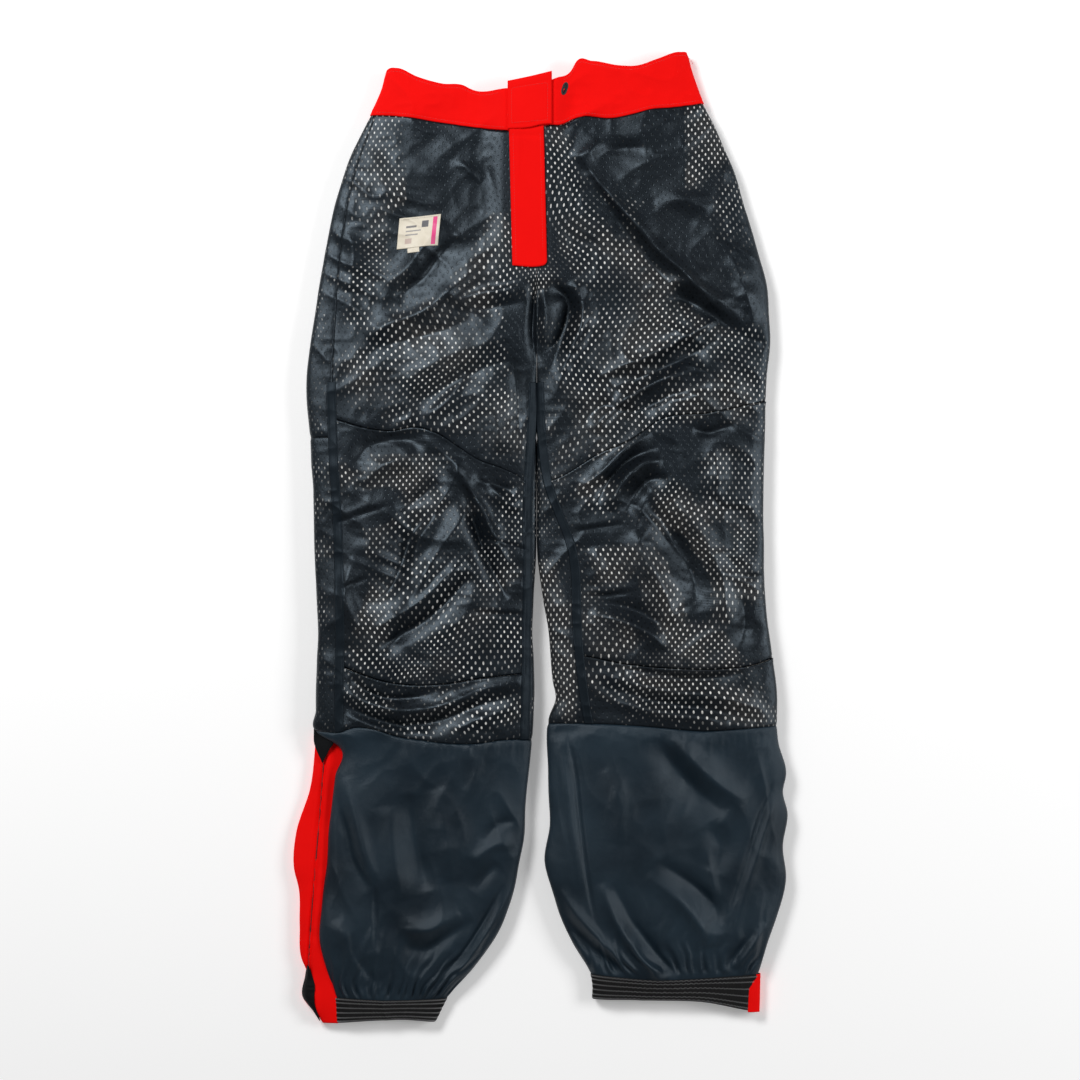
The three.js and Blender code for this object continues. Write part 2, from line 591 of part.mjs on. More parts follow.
add("fly_zip_stop", stop, METAL, ZIP_X, ZIP_BOTTOM_Y - CLEARANCE - stopLength / 2, ZIP_Z);

const plateZ = TOOTH_THICKNESS / 2 + CLEARANCE + SLIDER_PLATE / 2;
const lugZ = -plateZ - SLIDER_PLATE / 2 - CLEARANCE - PULL_THICKNESS / 2;
const lug = new THREE.CylinderGeometry(LUG_RADIUS, LUG_RADIUS, PULL_WIDTH - 1, 12).rotateZ(Math.PI / 2);
const sliderParts = [
  block(SLIDER_WIDTH, SLIDER_LENGTH, SLIDER_PLATE, 0, 0, plateZ),
  block(SLIDER_WIDTH, SLIDER_LENGTH, SLIDER_PLATE, 0, 0, -plateZ),
  block(ZIP_MIDDLE_GAP - 2 * CLEARANCE, SLIDER_LENGTH, 2 * plateZ),
  lug.translate(0, 0, lugZ),
];
const slider = sliderParts.map(toSolid).reduce((joined, part) => joined.add(part));
const sliderY = ZIP_TOP_Y - SLIDER_LENGTH / 2;
add("fly_zip_slider", toGeometry(slider), METAL, ZIP_X, sliderY, ZIP_Z);
const pullY = -LUG_RADIUS - CLEARANCE - PULL_LENGTH / 2; // it hangs below the lug
const pull = block(PULL_WIDTH, PULL_LENGTH, PULL_THICKNESS, 0, pullY, 0);
add("fly_zip_pull", pull, METAL, ZIP_X, sliderY, ZIP_Z + lugZ);

// ---- labels sewn to the lining -------------------------------------------------------------------
const labelY = CROTCH_Y + LABEL_ABOVE_CROTCH;
const labelZ = TOP_Z + CLEARANCE + LABEL_THICKNESS / 2;
const label = block(LABEL_WIDTH, LABEL_HEIGHT, LABEL_THICKNESS);
add("care_label", label, LABEL_SATIN, LABEL_X, labelY, labelZ, LABEL_TURN);
const sizeTab = block(
  SIZE_TAB_WIDTH, SIZE_TAB_HEIGHT, LABEL_THICKNESS,
  SIZE_TAB_X, -(LABEL_HEIGHT + SIZE_TAB_HEIGHT) / 2 - SEAM_GAP, 0
);
add("size_tab", sizeTab, LABEL_SATIN, LABEL_X, labelY, labelZ, LABEL_TURN);

// ---- red shell gussets that show beside the gaiters -----------------------------------------------
// A folded sheet: its two edges meet the gaiter and its fold lies outwards.
function gusset(half, topY, bottomY, width, gap) {
  const columns = 8;
  const rows = Math.max(2, Math.ceil((topY - bottomY) / ROW_LENGTH));
  const rail = (i, t, depth) => {
    const y = mix(topY, bottomY, t);
    const bend = mix(-90, 90, i / columns);
    const reach = width(t) - depth;
    const height = GUSSET_HALF_THICKNESS - depth;
    const edge = half.outer(y) - half.inward * gap;
    return new THREE.Vector3(
      edge - half.inward * reach * Math.cos(radians(bend)),
      y,
      GUSSET_HALF_THICKNESS + height * Math.sin(radians(bend))
    );
  };
  return sheet(rail, columns, rows, 0, SHELL_THICKNESS);
}
const gussetTopY = CALF_SEAM_Y - GUSSET_BELOW_SEAM;
const leftWidth = (t) => mix(GUSSET_TOP_WIDTH, GUSSET_WIDTH, Math.sin(Math.PI * Math.min(t * 1.1, 1)) ** 0.7);
const leftGusset = gusset(LEFT, gussetTopY, gussetTopY - GUSSET_LENGTH, leftWidth, GUSSET_GAP);
add("ankle_gusset_left", leftGusset, RED_SHELL);
const rightCuffTop = CUFF_TOP_Y + RIGHT_LEG_LIFT;
const rightGusset = gusset(
  RIGHT, rightCuffTop, rightCuffTop - HEM_STRIP_LENGTH, level(HEM_STRIP_WIDTH), STRIP_GAP
);
add("ankle_gusset_right", rightGusset, RED_SHELL);

garment.position.z = CUFF_PROUD; // the lowest piece rests on the surface

export default garment;
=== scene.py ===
"""Lined winter-sports trousers, turned inside out and laid flat with the front up.

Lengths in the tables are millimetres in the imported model's frame: +X right, +Y to the waist, +Z up.
Every panel is a patch of one flattened tube per leg, so neighbouring panels share the same folds.
"""

import json
import math

import bpy
import numpy as np
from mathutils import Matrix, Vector


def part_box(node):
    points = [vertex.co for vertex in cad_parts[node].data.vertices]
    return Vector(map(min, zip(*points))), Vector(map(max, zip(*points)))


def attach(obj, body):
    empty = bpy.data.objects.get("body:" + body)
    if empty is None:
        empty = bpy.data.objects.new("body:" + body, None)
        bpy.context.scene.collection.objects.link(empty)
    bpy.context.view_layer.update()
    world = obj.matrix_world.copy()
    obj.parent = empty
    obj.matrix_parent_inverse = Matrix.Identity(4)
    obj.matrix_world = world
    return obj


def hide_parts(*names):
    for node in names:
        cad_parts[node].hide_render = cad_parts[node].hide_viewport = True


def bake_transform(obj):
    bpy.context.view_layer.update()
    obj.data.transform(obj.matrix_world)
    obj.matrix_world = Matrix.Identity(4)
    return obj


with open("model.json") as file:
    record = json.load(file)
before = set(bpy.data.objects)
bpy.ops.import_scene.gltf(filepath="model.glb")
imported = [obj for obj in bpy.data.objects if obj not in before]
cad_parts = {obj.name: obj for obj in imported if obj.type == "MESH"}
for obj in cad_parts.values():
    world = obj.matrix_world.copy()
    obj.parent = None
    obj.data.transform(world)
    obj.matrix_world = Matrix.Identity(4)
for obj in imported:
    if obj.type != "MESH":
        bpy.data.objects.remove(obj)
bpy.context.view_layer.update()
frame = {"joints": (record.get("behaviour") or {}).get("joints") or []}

MM = 0.001
TAU = 2 * math.pi

# ---- places taken from the frame ----
CALF_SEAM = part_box("gaiter_left")[1].y / MM
CUFF_TOP = {side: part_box(f"cuff_{side}")[1].y / MM for side in ("left", "right")}
JOINT = {joint["name"]: joint for joint in frame["joints"]}
CROTCH = JOINT["hip_fold_left"]["pos_m"][1] / MM
FLOOR = 0.0


# ---- small mathematics ----
def curve(*points):
    """A smooth function through (position, value) pairs in rising order of position."""
    at = np.array([p[0] for p in points], float)
    value = np.array([p[1] for p in points], float)
    slope = np.gradient(value, at)

    def evaluate(x):
        x = np.clip(np.asarray(x, float), at[0], at[-1])
        i = np.clip(np.searchsorted(at, x) - 1, 0, len(at) - 2)
        span = at[i + 1] - at[i]
        t = (x - at[i]) / span
        h00, h01 = 2 * t**3 - 3 * t**2 + 1, -2 * t**3 + 3 * t**2
        h10, h11 = t**3 - 2 * t**2 + t, t**3 - t**2
        return (
            h00 * value[i]
            + h01 * value[i + 1]
            + span * (h10 * slope[i] + h11 * slope[i + 1])
        )

    return evaluate


def smooth(x, low, high):
    t = np.clip((np.asarray(x, float) - low) / (high - low), 0, 1)
    return t * t * (3 - 2 * t)


def mix(a, b, t):
    return a + (b - a) * t


def bell(away, width):
    """A hump: 1 where away is nought, and almost nothing beyond twice the width."""
    return np.exp(-((away / width) ** 2))


def constant(value):
    return lambda x: np.full_like(np.asarray(x, float), value)


def unit_grid(columns, rows):
    """Two grids of shares from 0 to 1, the first over the columns and the second over the rows."""
    return np.meshgrid(np.linspace(0, 1, columns + 1), np.linspace(0, 1, rows + 1), indexing="ij")


NOISE_SIZE = 64
NOISE_TABLE = np.random.default_rng(7).uniform(-1, 1, (NOISE_SIZE, NOISE_SIZE))


def noise(x, y, scale, shift=0.0):
    """Smooth noise from -1 to 1 whose features are about scale millimetres wide."""
    x, y = np.asarray(x) / scale + shift * 7.31, np.asarray(y) / scale + shift * 3.77
    i, j = np.floor(x).astype(int), np.floor(y).astype(int)
    u, v = x - i, y - j
    u, v = u * u * (3 - 2 * u), v * v * (3 - 2 * v)
    at = lambda a, b: NOISE_TABLE[a % NOISE_SIZE, b % NOISE_SIZE]
    return mix(mix(at(i, j), at(i + 1, j), u), mix(at(i, j + 1), at(i + 1, j + 1), u), v)


def layered(x, y, scale, shift=0.0, octaves=3):
    total, weight = 0, 1.0
    for k in range(octaves):
        total = total + weight * noise(x, y, scale / 2**k, shift + k)
        weight *= 0.5
    return total / 1.75


# ---- outlines ----
class Half:
    """One leg laid flat: its two edges and its seams, each as the x they have at a level y."""

    def __init__(self, name, inward, outer, inner, inseam, outseam):
        self.name, self.inward = name, inward
        self.outer, self.inner = curve(*outer), curve(*inner)
        self.inseam, self.outseam = curve(*inseam), curve(*outseam) if outseam else None

    def middle(self, y):
        return (self.outer(y) + self.inner(y)) / 2

    def width(self, y):
        return np.abs(self.outer(y) - self.inner(y)) / 2

    def angle(self, x, y):
        side = (x - self.middle(y)) * self.inward / self.width(y)
        return np.degrees(np.arcsin(np.clip(side, -1, 1)))

    def at(self, angle, y):
        """The x of an angle round the flattened tube."""
        return self.middle(y) + self.inward * self.width(y) * np.sin(np.radians(angle))

    def level(self, x):
        """The angles, level by level, of a straight line up the front at one x."""
        return lambda y: self.angle(np.full_like(np.asarray(y, float), x), y)


LEFT = Half(
    "left", 1,
    outer=[
        (-512, -214), (-484, -217), (-419, -233), (-365, -227), (-294, -221), (-250, -216), (-219, -212),
        (-203, -236.5), (-180, -236), (-77, -235), (-21, -238), (95, -241), (165, -246),
        (253, -235), (296, -228), (349, -217), (402, -201), (446, -179), (473, -166), (500, -160),
    ],
    inner=[
        (-512, -112), (-484, -98), (-452, -70), (-408, -40), (-365, -27), (-322, -18),
        (-278, -15), (-210, -8), (-60, -6.5), (-20, -4.2), (41, -3.6), (173, -3.6), (520, -3.6),
    ],
    inseam=[(-203, -16), (-150, -15), (-22, -13), (41, -13), (100, -10), (173, -6)],
    outseam=[
        (-203, -211), (-100, -210), (0, -212), (100, -217), (165, -219), (230, -216),
        (290, -212), (340, -205), (390, -194), (440, -176),
    ],
)
RIGHT = Half(
    "right", -1,
    outer=[
        (-499, 222), (-462, 229), (-447, 234), (-400, 249), (-360, 260), (-326, 256), (-289, 261),
        (-267, 256), (-247, 260), (-214, 252), (-159, 250), (-113, 244), (-68, 238), (-22, 236),
        (78, 236), (148, 238), (221, 243), (274, 238), (327, 223), (380, 207), (426, 189),
        (459, 172), (494, 160), (520, 154),
    ],
    inner=[
        (-499, 53), (-460, 54), (-425, 33), (-382, 16), (-341, 5), (-300, 10), (-246, 8),
        (-187, 9), (-168, 16), (-150, 13), (-95, 8), (-59, 2.5), (-22, -2.4), (41, -3.3),
        (173, -3.3), (520, -3.3),
    ],
    inseam=[(-203, 53), (-187, 50), (-107, 40), (-12, 34), (62, 8), (110, 2), (173, -1)],
    outseam=None,
)
HALVES = {"left": LEFT, "right": RIGHT}

BAND_BOTTOM = curve(
    (-182, 447), (-142, 444), (-110, 439), (-69, 433), (-35, 429), (-5, 430), (4, 434), (21, 435),
    (38, 443), (77, 443), (101, 448), (116, 452), (138, 454), (175, 460),
)
BAND_TOP = curve(
    (-182, 474), (-168, 485), (-160, 495), (-150, 496), (-130, 487), (-103, 479), (-80, 477), (-72, 473),
    (-35, 473), (0, 478), (17, 484), (33, 493), (38, 502), (55, 503), (84, 498), (101, 498),
    (125, 506), (148, 513), (157, 512), (165, 500), (175, 490),
)
KNEE_TOP = {
    "left": curve((-241, 132), (-217, 126), (-177, 115), (-156, 113), (-131, 117), (-105, 109),
                  (-87, 97), (-65, 83), (-38, 73), (-21, 64), (-5, 46)),
    "right": curve((0, 56), (26, 67), (60, 88), (98, 106), (126, 125), (176, 132), (202, 137), (243, 146)),
}
KNEE_BOTTOM = {
    "left": curve((-240, -126), (-217, -130), (-196, -139), (-163, -150), (-128, -154), (-97, -152),
                  (-59, -146), (-6, -140)),
    "right": curve((8, -120), (52, -124), (81, -130), (117, -135), (154, -137), (190, -137), (227, -132),
                   (252, -123)),
}
GAITER_TOP = {
    "left": curve((-238, -202), (-212, -203), (-194, -198), (-174, -200), (-152, -207), (-126, -211),
                  (-90, -215), (-68, -215), (-37, -211), (-6, -211)),
    "right": curve((5, -194), (53, -194), (99, -196), (135, -199), (172, -202), (208, -200), (253, -196)),
}

HALF_THICKNESS = curve((-520, 8), (-480, 9), (-420, 12.5), (-360, 13), (300, 12.5), (440, 11), (520, 10))
EDGE_POWER = 3.4

CUFF_LOW = {
    "left": curve((-220, -511), (-180, -508), (-140, -507), (-98, -511)),
    "right": curve((50, -485), (110, -486), (173, -488), (224, -498)),
}
CUFF_HIGH = {
    "left": curve((-220, -483), (-160, -486), (-98, -484)),
    "right": curve((50, -458), (120, -464), (224, -459)),
}

# ---- folds ----
# Each fold: height, width, skew (how much softer its second side is), then its route.
FRONT_FOLDS = [
    # left hip and thigh
    (-5.0, 6, 1.8, (-154, 254), (-128, 271), (-105, 300), (-88, 319)),
    (4.0, 9, 1.3, (-170, 262), (-138, 285), (-118, 312), (-100, 335)),
    (4.5, 9, 0.6, (-180, 208), (-162, 223), (-122, 238), (-92, 262), (-60, 290)),
    (-4.0, 8, 1.5, (-188, 190), (-160, 205), (-115, 216), (-70, 232)),
    (4.0, 5, 2.2, (-96, 250), (-49, 260), (-11, 269)),
    (-3.5, 8, 1.0, (-92, 238), (-50, 244), (-14, 250)),
    (3.0, 11, 1.0, (-150, 160), (-110, 185), (-60, 206), (-20, 216)),
    (-3.0, 10, 1.0, (-140, 138), (-100, 160), (-60, 180), (-25, 190)),
    (3.0, 6, 1.0, (-121, 128), (-104, 140), (-90, 154), (-78, 172)),
    (3.0, 10, 1.0, (-205, 330), (-196, 300), (-200, 260)),
    (-3.0, 9, 1.0, (-60, 398), (-48, 370), (-42, 335), (-38, 300)),
    (2.5, 7, 1.0, (-90, 400), (-75, 388), (-62, 375)),
    (2.5, 10, 1.0, (-60, 165), (-45, 120), (-40, 90)),
    (-3.0, 7, 1.0, (-28, 190), (-24, 150), (-22, 105)),
    # crotch
    (-6.5, 6, 1.2, (10, 290), (17, 266), (29, 252), (28, 234), (17, 207), (0, 190)),
    (5.0, 7, 1.0, (34, 272), (44, 248), (42, 222), (28, 196)),
    (-5.0, 5, 1.0, (-4, 285), (-6, 250), (-8, 215), (-5, 185)),
    (5.0, 7, 1.0, (4, 262), (6, 235), (2, 205)),
    (-4.0, 6, 1.0, (54, 262), (36, 238), (22, 205), (10, 178)),
    (3.5, 7, 1.0, (58, 244), (42, 214), (26, 180), (16, 150)),
    # right hip and thigh
    (5.5, 8, 0.55, (40, 405), (63, 373), (94, 337), (126, 301), (154, 277), (179, 249), (212, 228)),
    (-5.0, 10, 1.3, (52, 380), (84, 330), (112, 296), (140, 266), (170, 240)),
    (3.5, 8, 1.2, (62, 420), (50, 405), (30, 402)),
    (-3.5, 9, 1.0, (56, 400), (78, 410), (110, 412)),
    (3.0, 10, 1.0, (120, 352), (150, 356), (180, 345)),
    (6.0, 8, 0.45, (60, 168), (84, 179), (124, 196), (162, 217), (188, 232)),
    (-6.0, 10, 1.0, (70, 156), (105, 170), (150, 190), (190, 212)),
    (-4.5, 8, 1.5, (104, 245), (149, 253), (179, 237), (210, 216), (238, 205)),
    (4.5, 9, 1.0, (108, 262), (148, 270), (182, 254), (214, 232)),
    (5.0, 7, 0.7, (56, 112), (69, 129), (102, 154), (142, 172), (172, 178)),
    (-5.0, 8, 1.0, (44, 122), (66, 140), (98, 134), (140, 152), (180, 160)),
    (3.0, 10, 1.0, (130, 142), (170, 152), (212, 160)),
    (3.0, 9, 1.0, (200, 300), (215, 262), (226, 225)),
    # left knee panel
    (-8.5, 8, 1.8, (-84, 67), (-101, 35), (-131, 8), (-144, -22), (-160, -55), (-190, -70)),
    (7.0, 8, 1.2, (-84, 86), (-94, 52), (-112, 24), (-128, -2), (-136, -30)),
    (4.5, 10, 1.0, (-66, 42), (-88, 12), (-112, -22), (-130, -55), (-150, -80)),
    (-7.0, 6, 1.0, (-80, 58), (-72, 25), (-62, -5), (-49, -36), (-34, -64)),
    (5.0, 6, 1.0, (-90, 78), (-64, 38), (-48, 4), (-32, -30)),
    (-6.0, 5, 1.6, (-166, -112), (-121, -85), (-90, -56), (-72, -36)),
    (5.5, 7, 1.4, (-176, -96), (-128, -68), (-98, -40), (-78, -22)),
    (3.5, 8, 1.0, (-188, -100), (-205, -60), (-196, -20)),
    (-4.0, 9, 1.0, (-196, 78), (-180, 98), (-150, 104), (-120, 100)),
    (4.0, 9, 1.0, (-190, 56), (-160, 78), (-130, 88)),
    (-4.0, 7, 1.0, (-108, 62), (-126, 44), (-150, 30)),
    (4.5, 6, 1.0, (-60, 66), (-40, 44), (-22, 30)),
    (-4.0, 6, 1.0, (-72, 62), (-46, 56), (-26, 48)),
    (-3.5, 8, 1.0, (-170, -118), (-150, -104), (-148, -84)),
    # below the left knee
    (-5.5, 5, 1.5, (-212, -170), (-177, -188), (-139, -196), (-101, -188), (-61, -172), (-20, -160)),
    (5.0, 6, 1.3, (-208, -158), (-180, -172), (-140, -180), (-100, -174), (-60, -158), (-16, -147)),
    (-4.5, 4, 1.0, (-200, -146), (-178, -162), (-150, -168), (-110, -162)),
    (4.0, 5, 1.0, (-204, -184), (-170, -198), (-140, -205)),
    (3.0, 6, 1.0, (-90, -200), (-60, -188), (-24, -176)),
    # right knee panel
    (6.0, 7, 1.0, (73, 30), (86, 57), (107, 78), (128, 82)),
    (-6.0, 6, 1.0, (58, 36), (72, 62), (94, 84), (124, 96)),
    (5.0, 6, 1.0, (40, 53), (66, 70), (92, 96), (118, 112)),
    (-6.0, 7, 1.2, (88, 26), (100, 46), (114, 62), (136, 64)),
    (-9.0, 16, 1.0, (108, 30), (127, 22), (142, -4), (160, -38), (164, -76)),
    (6.0, 12, 1.0, (100, 10), (112, -20), (130, -55), (142, -90)),
    (5.0, 10, 1.0, (140, 40), (168, 6), (190, -40), (196, -90)),
    (-4.0, 8, 1.0, (51, -67), (89, -71), (122, -87), (136, -104)),
    (4.5, 7, 1.0, (50, -78), (86, -86), (116, -100), (132, -116)),
    (-4.0, 5, 1.0, (160, 116), (178, 112), (206, 122)),
    (3.0, 8, 1.0, (182, 96), (186, 66), (184, 44)),
    (-3.5, 9, 1.0, (212, -60), (216, -90), (208, -118)),
    (3.0, 8, 1.0, (58, -8), (62, -30), (56, -48)),
    # below the right knee
    (-5.0, 5, 1.4, (89, -136), (142, -146), (178, -146), (214, -140)),
    (4.5, 6, 1.0, (61, -142), (127, -158), (190, -166), (236, -180)),
    (-4.0, 6, 1.0, (64, -154), (120, -170), (180, -180), (232, -192)),
    (3.5, 7, 1.0, (80, -172), (140, -184), (200, -192)),
]
GAITER_FOLDS = [
    # left
    (-5.0, 8, 1.2, (-218, -262), (-206, -300), (-196, -339), (-178, -368)),
    (4.5, 10, 1.2, (-205, -250), (-192, -300), (-180, -340), (-162, -370)),
    (-2.2, 2.2, 1.0, (-172, -350), (-173, -390), (-172, -433)),
    (-4.5, 13, 1.0, (-136, -268), (-131, -321), (-119, -370)),
    (3.5, 14, 1.0, (-110, -262), (-100, -310), (-92, -360)),
    (3.5, 12, 1.0, (-158, -280), (-154, -330), (-146, -380)),
    (-4.0, 8, 1.0, (-142, -428), (-120, -432), (-95, -416), (-70, -400)),
    (4.0, 9, 1.0, (-150, -410), (-118, -410), (-84, -392)),
    (-3.0, 2.4, 1.3, (-103, -459), (-82, -436), (-58, -400), (-39, -363)),
    (3.0, 4, 1.0, (-98, -470), (-72, -438), (-48, -402), (-30, -366)),
    (-2.5, 5, 1.0, (-60, -318), (-44, -300), (-24, -296)),
    (3.0, 7, 1.0, (-72, -340), (-48, -322), (-26, -320)),
    (-3.5, 8, 1.0, (-206, -420), (-186, -452), (-168, -470)),
    (3.5, 8, 1.0, (-214, -400), (-196, -440), (-180, -468)),
    (-3.0, 7, 1.0, (-70, -370), (-56, -352), (-44, -340)),
    # right
    (-2.4, 2.2, 1.0, (28, -200), (37, -246), (43, -305), (51, -365), (59, -405)),
    (2.0, 5, 1.0, (20, -210), (28, -260), (34, -310), (42, -370)),
    (-2.6, 2.4, 1.0, (244, -256), (230, -297), (216, -341), (198, -396)),
    (2.2, 4, 1.0, (252, -262), (238, -300), (226, -341), (208, -396)),
    (-7.5, 11, 1.6, (121, -205), (139, -235), (162, -262), (196, -290)),
    (5.5, 10, 1.0, (138, -204), (160, -232), (186, -256), (216, -276)),
    (-4.0, 14, 1.0, (176, -300), (190, -325), (184, -350)),
    (-5.5, 7, 1.5, (124, -338), (162, -365), (184, -388), (190, -414)),
    (5.0, 10, 1.0, (112, -352), (148, -380), (168, -404), (176, -430)),
    (5.5, 7, 0.8, (64, -362), (85, -410), (117, -453), (132, -466)),
    (-5.5, 8, 1.0, (76, -362), (100, -406), (130, -444), (146, -458)),
    (-4.5, 6, 1.0, (10, -376), (41, -417), (69, -442), (92, -458)),
    (4.5, 6, 1.0, (20, -368), (48, -406), (78, -436), (100, -456)),
    (2.5, 12, 1.0, (70, -240), (84, -280), (80, -320)),
    (-3.0, 5, 1.0, (226, -412), (208, -436), (196, -452)),
    (3.5, 6, 1.0, (238, -404), (220, -432), (204, -452)),
]
BACK_FOLDS = [
    (4.0, 9, 1.0, (-190, 200), (-130, 220), (-60, 215)),
    (-4.0, 9, 1.0, (-180, 176), (-120, 196), (-50, 190)),
    (4.0, 9, 1.0, (190, 210), (120, 226), (60, 214)),
    (-4.0, 9, 1.0, (180, 180), (120, 198), (50, 188)),
    (-5.0, 6, 1.0, (-4, 420), (-5, 320), (-4, 230)),
    (4.0, 10, 1.0, (-60, 160), (-40, 110), (-30, 60)),
    (4.0, 10, 1.0, (60, 160), (45, 110), (40, 60)),
    (-5.0, 7, 1.0, (-200, 30), (-140, 10), (-60, 24)),
    (5.0, 7, 1.0, (-204, 8), (-140, -12), (-50, 4)),
    (-5.0, 7, 1.0, (-200, -30), (-130, -44), (-40, -28)),
    (4.0, 8, 1.0, (-190, -52), (-130, -66), (-50, -52)),
    (-5.0, 7, 1.0, (40, 24), (120, 8), (210, 30)),
    (5.0, 7, 1.0, (44, 2), (120, -14), (214, 6)),
    (-5.0, 7, 1.0, (40, -34), (130, -46), (214, -28)),
    (4.0, 8, 1.0, (50, -58), (130, -68), (210, -52)),
    (3.0, 9, 1.0, (-180, -140), (-110, -160), (-40, -150)),
    (3.0, 9, 1.0, (60, -140), (130, -160), (220, -150)),
    (3.5, 12, 1.0, (-110, 400), (-120, 340), (-150, 290)),
    (3.5, 12, 1.0, (110, 400), (125, 340), (150, 290)),
]


def prepared(folds):
    """Each fold as its height, width, skew and the fine polyline it follows."""
    ready = []
    for height, width, skew, *route in folds:
        at = np.arange(len(route))
        steps = np.linspace(0, len(route) - 1, 4 * (len(route) - 1) + 1)
        line = np.stack([curve(*zip(at, [point[k] for point in route]))(steps) for k in (0, 1)], 1)
        ready.append((height, width, skew, line))
    return ready


def fold_field(x, y, folds, crest=1.38):
    """The height of all the folds at each point. A fold fades out towards both of its ends."""
    total = np.zeros_like(x)
    for height, width, skew, line in folds:
        reach = 2.8 * width * max(skew, 1)
        low, high = line.min(0) - reach, line.max(0) + reach
        near = (x > low[0]) & (x < high[0]) & (y > low[1]) & (y < high[1])
        if not near.any():
            continue
        px, py = x[near][:, None], y[near][:, None]
        a, d = line[:-1], line[1:] - line[:-1]
        t = ((px - a[:, 0]) * d[:, 0] + (py - a[:, 1]) * d[:, 1]) / (d**2).sum(1)
        t = np.clip(t, 0, 1)
        dx, dy = px - a[:, 0] - t * d[:, 0], py - a[:, 1] - t * d[:, 1]
        gap = dx**2 + dy**2
        i = gap.argmin(1)
        row = np.arange(len(i))
        side = np.where(d[i, 0] * dy[row, i] - d[i, 1] * dx[row, i] > 0, 1.0, skew)
        along = (i + t[row, i]) / len(a)
        fade = np.sin(np.pi * np.clip(along, 0.0, 1.0)) ** 0.75
        away = np.sqrt(gap[row, i]) / (width * side)
        total[near] += height * fade * np.exp(-(away**crest))
    return total


# Darts and seams: narrow grooves with the cloth pulled up beside them.
DARTS = [
    ((-214, 17), (-186, 27), (-159, 35)), ((-63, 2), (-36, -5), (-11, -13)),
    ((-72, -76), (-44, -79), (-17, -79)), ((-208, -53), (-194, -46), (-181, -40)),
    ((37, 8), (62, 12), (88, 16)), ((181, 46), (193, 33), (234, 29)),
    ((46, -60), (72, -59), (99, -55)), ((208, -40), (222, -40), (236, -39)),
]
DART_FOLDS = [(-2.6, 2.2, 1.0, *route) for route in DARTS]
DART_FOLDS += [(1.6, 5.0, 1.0, *[(x, y + 6) for x, y in route]) for route in DARTS]
FRONT, BACK = prepared(FRONT_FOLDS), prepared(BACK_FOLDS)
GAITER, PINCHED = prepared(GAITER_FOLDS), prepared(DART_FOLDS)
FOLD_GAIN, GAITER_GAIN = 1.65, 1.35


def ridged(x, y, scale, shift):
    """Noise with sharp crests, from -1 in its hollows to 1 on its crests."""
    return 1 - 2 * np.abs(noise(x, y, scale, shift)) ** 0.8


def cloth_noise(x, y):
    """Loose ripples of the light knitted lining, which run mostly across and a little downwards."""
    broad = layered(x, y * 1.2, 70, 1, 2) * 2.2
    bent_x, bent_y = x + 14 * noise(x, y, 60, 4), y + 14 * noise(x, y, 60, 14)
    along, across = bent_x * 0.80 + bent_y * 0.60, bent_y * 0.80 - bent_x * 0.60
    falling = ridged(along / 2.6, across, 26, 9)
    along, across = bent_x * 0.85 - bent_y * 0.53, bent_y * 0.85 + bent_x * 0.53
    rising = ridged(along / 2.6, across, 24, 19)
    turn = smooth(noise(x, y, 90, 25), -0.35, 0.35)
    return broad + mix(falling, rising, turn) * 1.7 + ridged(x, y * 1.4, 15, 5) * 0.45


def crinkle(x, y):
    """Crisp small creases of thin nylon."""
    bent_x, bent_y = x + 9 * noise(x, y, 40, 44), y + 9 * noise(x, y, 40, 45)
    first = ridged(bent_x + 0.35 * bent_y, bent_y / 2.2, 30, 41)
    second = ridged(bent_x - 0.5 * bent_y, bent_y / 1.8, 19, 42)
    patchy = smooth(noise(x, y, 70, 43), -0.5, 0.6)
    return first * 0.9 + second * 0.45 * patchy


def gather_lines(x, y, half, reach=74.0):
    """Gathers that run up from the cuff and spread with the cloth, and short puckers at the top seam."""
    base = CUFF_TOP[half.name]
    up = np.clip(y - base, 0, None)
    across = (x - half.middle(y)) / half.width(y)
    bend = noise(x, y, 42, 12) * 0.12 + noise(x, y, 16, 3) * 0.035
    waves = np.sin((across + bend) * 40) + 0.6 * np.sin((across + bend) * 67 + 1.3)
    cuff = waves * 1.9 * np.exp(-up / (reach * 0.36)) * smooth(up, -1, 6)
    down = np.clip(GAITER_TOP[half.name](x) - y, 0, None)
    pucker = np.sin((x + 3 * noise(x, y, 15, 23)) * TAU / 11)
    pucker = pucker + 0.7 * np.sin(x * TAU / 6.3 + noise(x, y, 9, 8))
    return cuff + pucker * 0.55 * np.exp(-down / 10) * smooth(down, 0, 3)


def at_calf_seam(y, lining, gaiter):
    """The lining's height above the seam at the calf, and the gaiter's below it."""
    return mix(lining, gaiter, smooth(-y, -CALF_SEAM - 4, -CALF_SEAM + 10))


def top_height(x, y, half):
    """How far the upper side rises above the plain tube."""
    lining = fold_field(x, y, FRONT) * FOLD_GAIN + fold_field(x, y, PINCHED) + cloth_noise(x, y)
    gaiter = fold_field(x, y, GAITER, 1.5) * GAITER_GAIN + layered(x, y, 60, 6, 2) * 1.8
    gaiter = gaiter + crinkle(x, y) * 1.6
    return at_calf_seam(y, lining, gaiter + gather_lines(x, y, half))


def back_height(x, y, half):
    """How far the under side hangs below the plain tube."""
    lining = fold_field(x, y, BACK) + cloth_noise(x + 300, y)
    gaiter = layered(x + 500, y, 60, 6, 2) * 2.4 + crinkle(x + 400, y)
    return at_calf_seam(y, lining, gaiter + gather_lines(x + 7, y, half))


FLY_Z = 28.0  # the zip and the shield keep the cloth under them at this height


def fly_hold(x, y):
    """1 where the fly holds the cloth level, 0 away from it."""
    across = smooth(x, -66, -37) * (1 - smooth(x, 11, 38))
    return across * smooth(y, 256, 276)


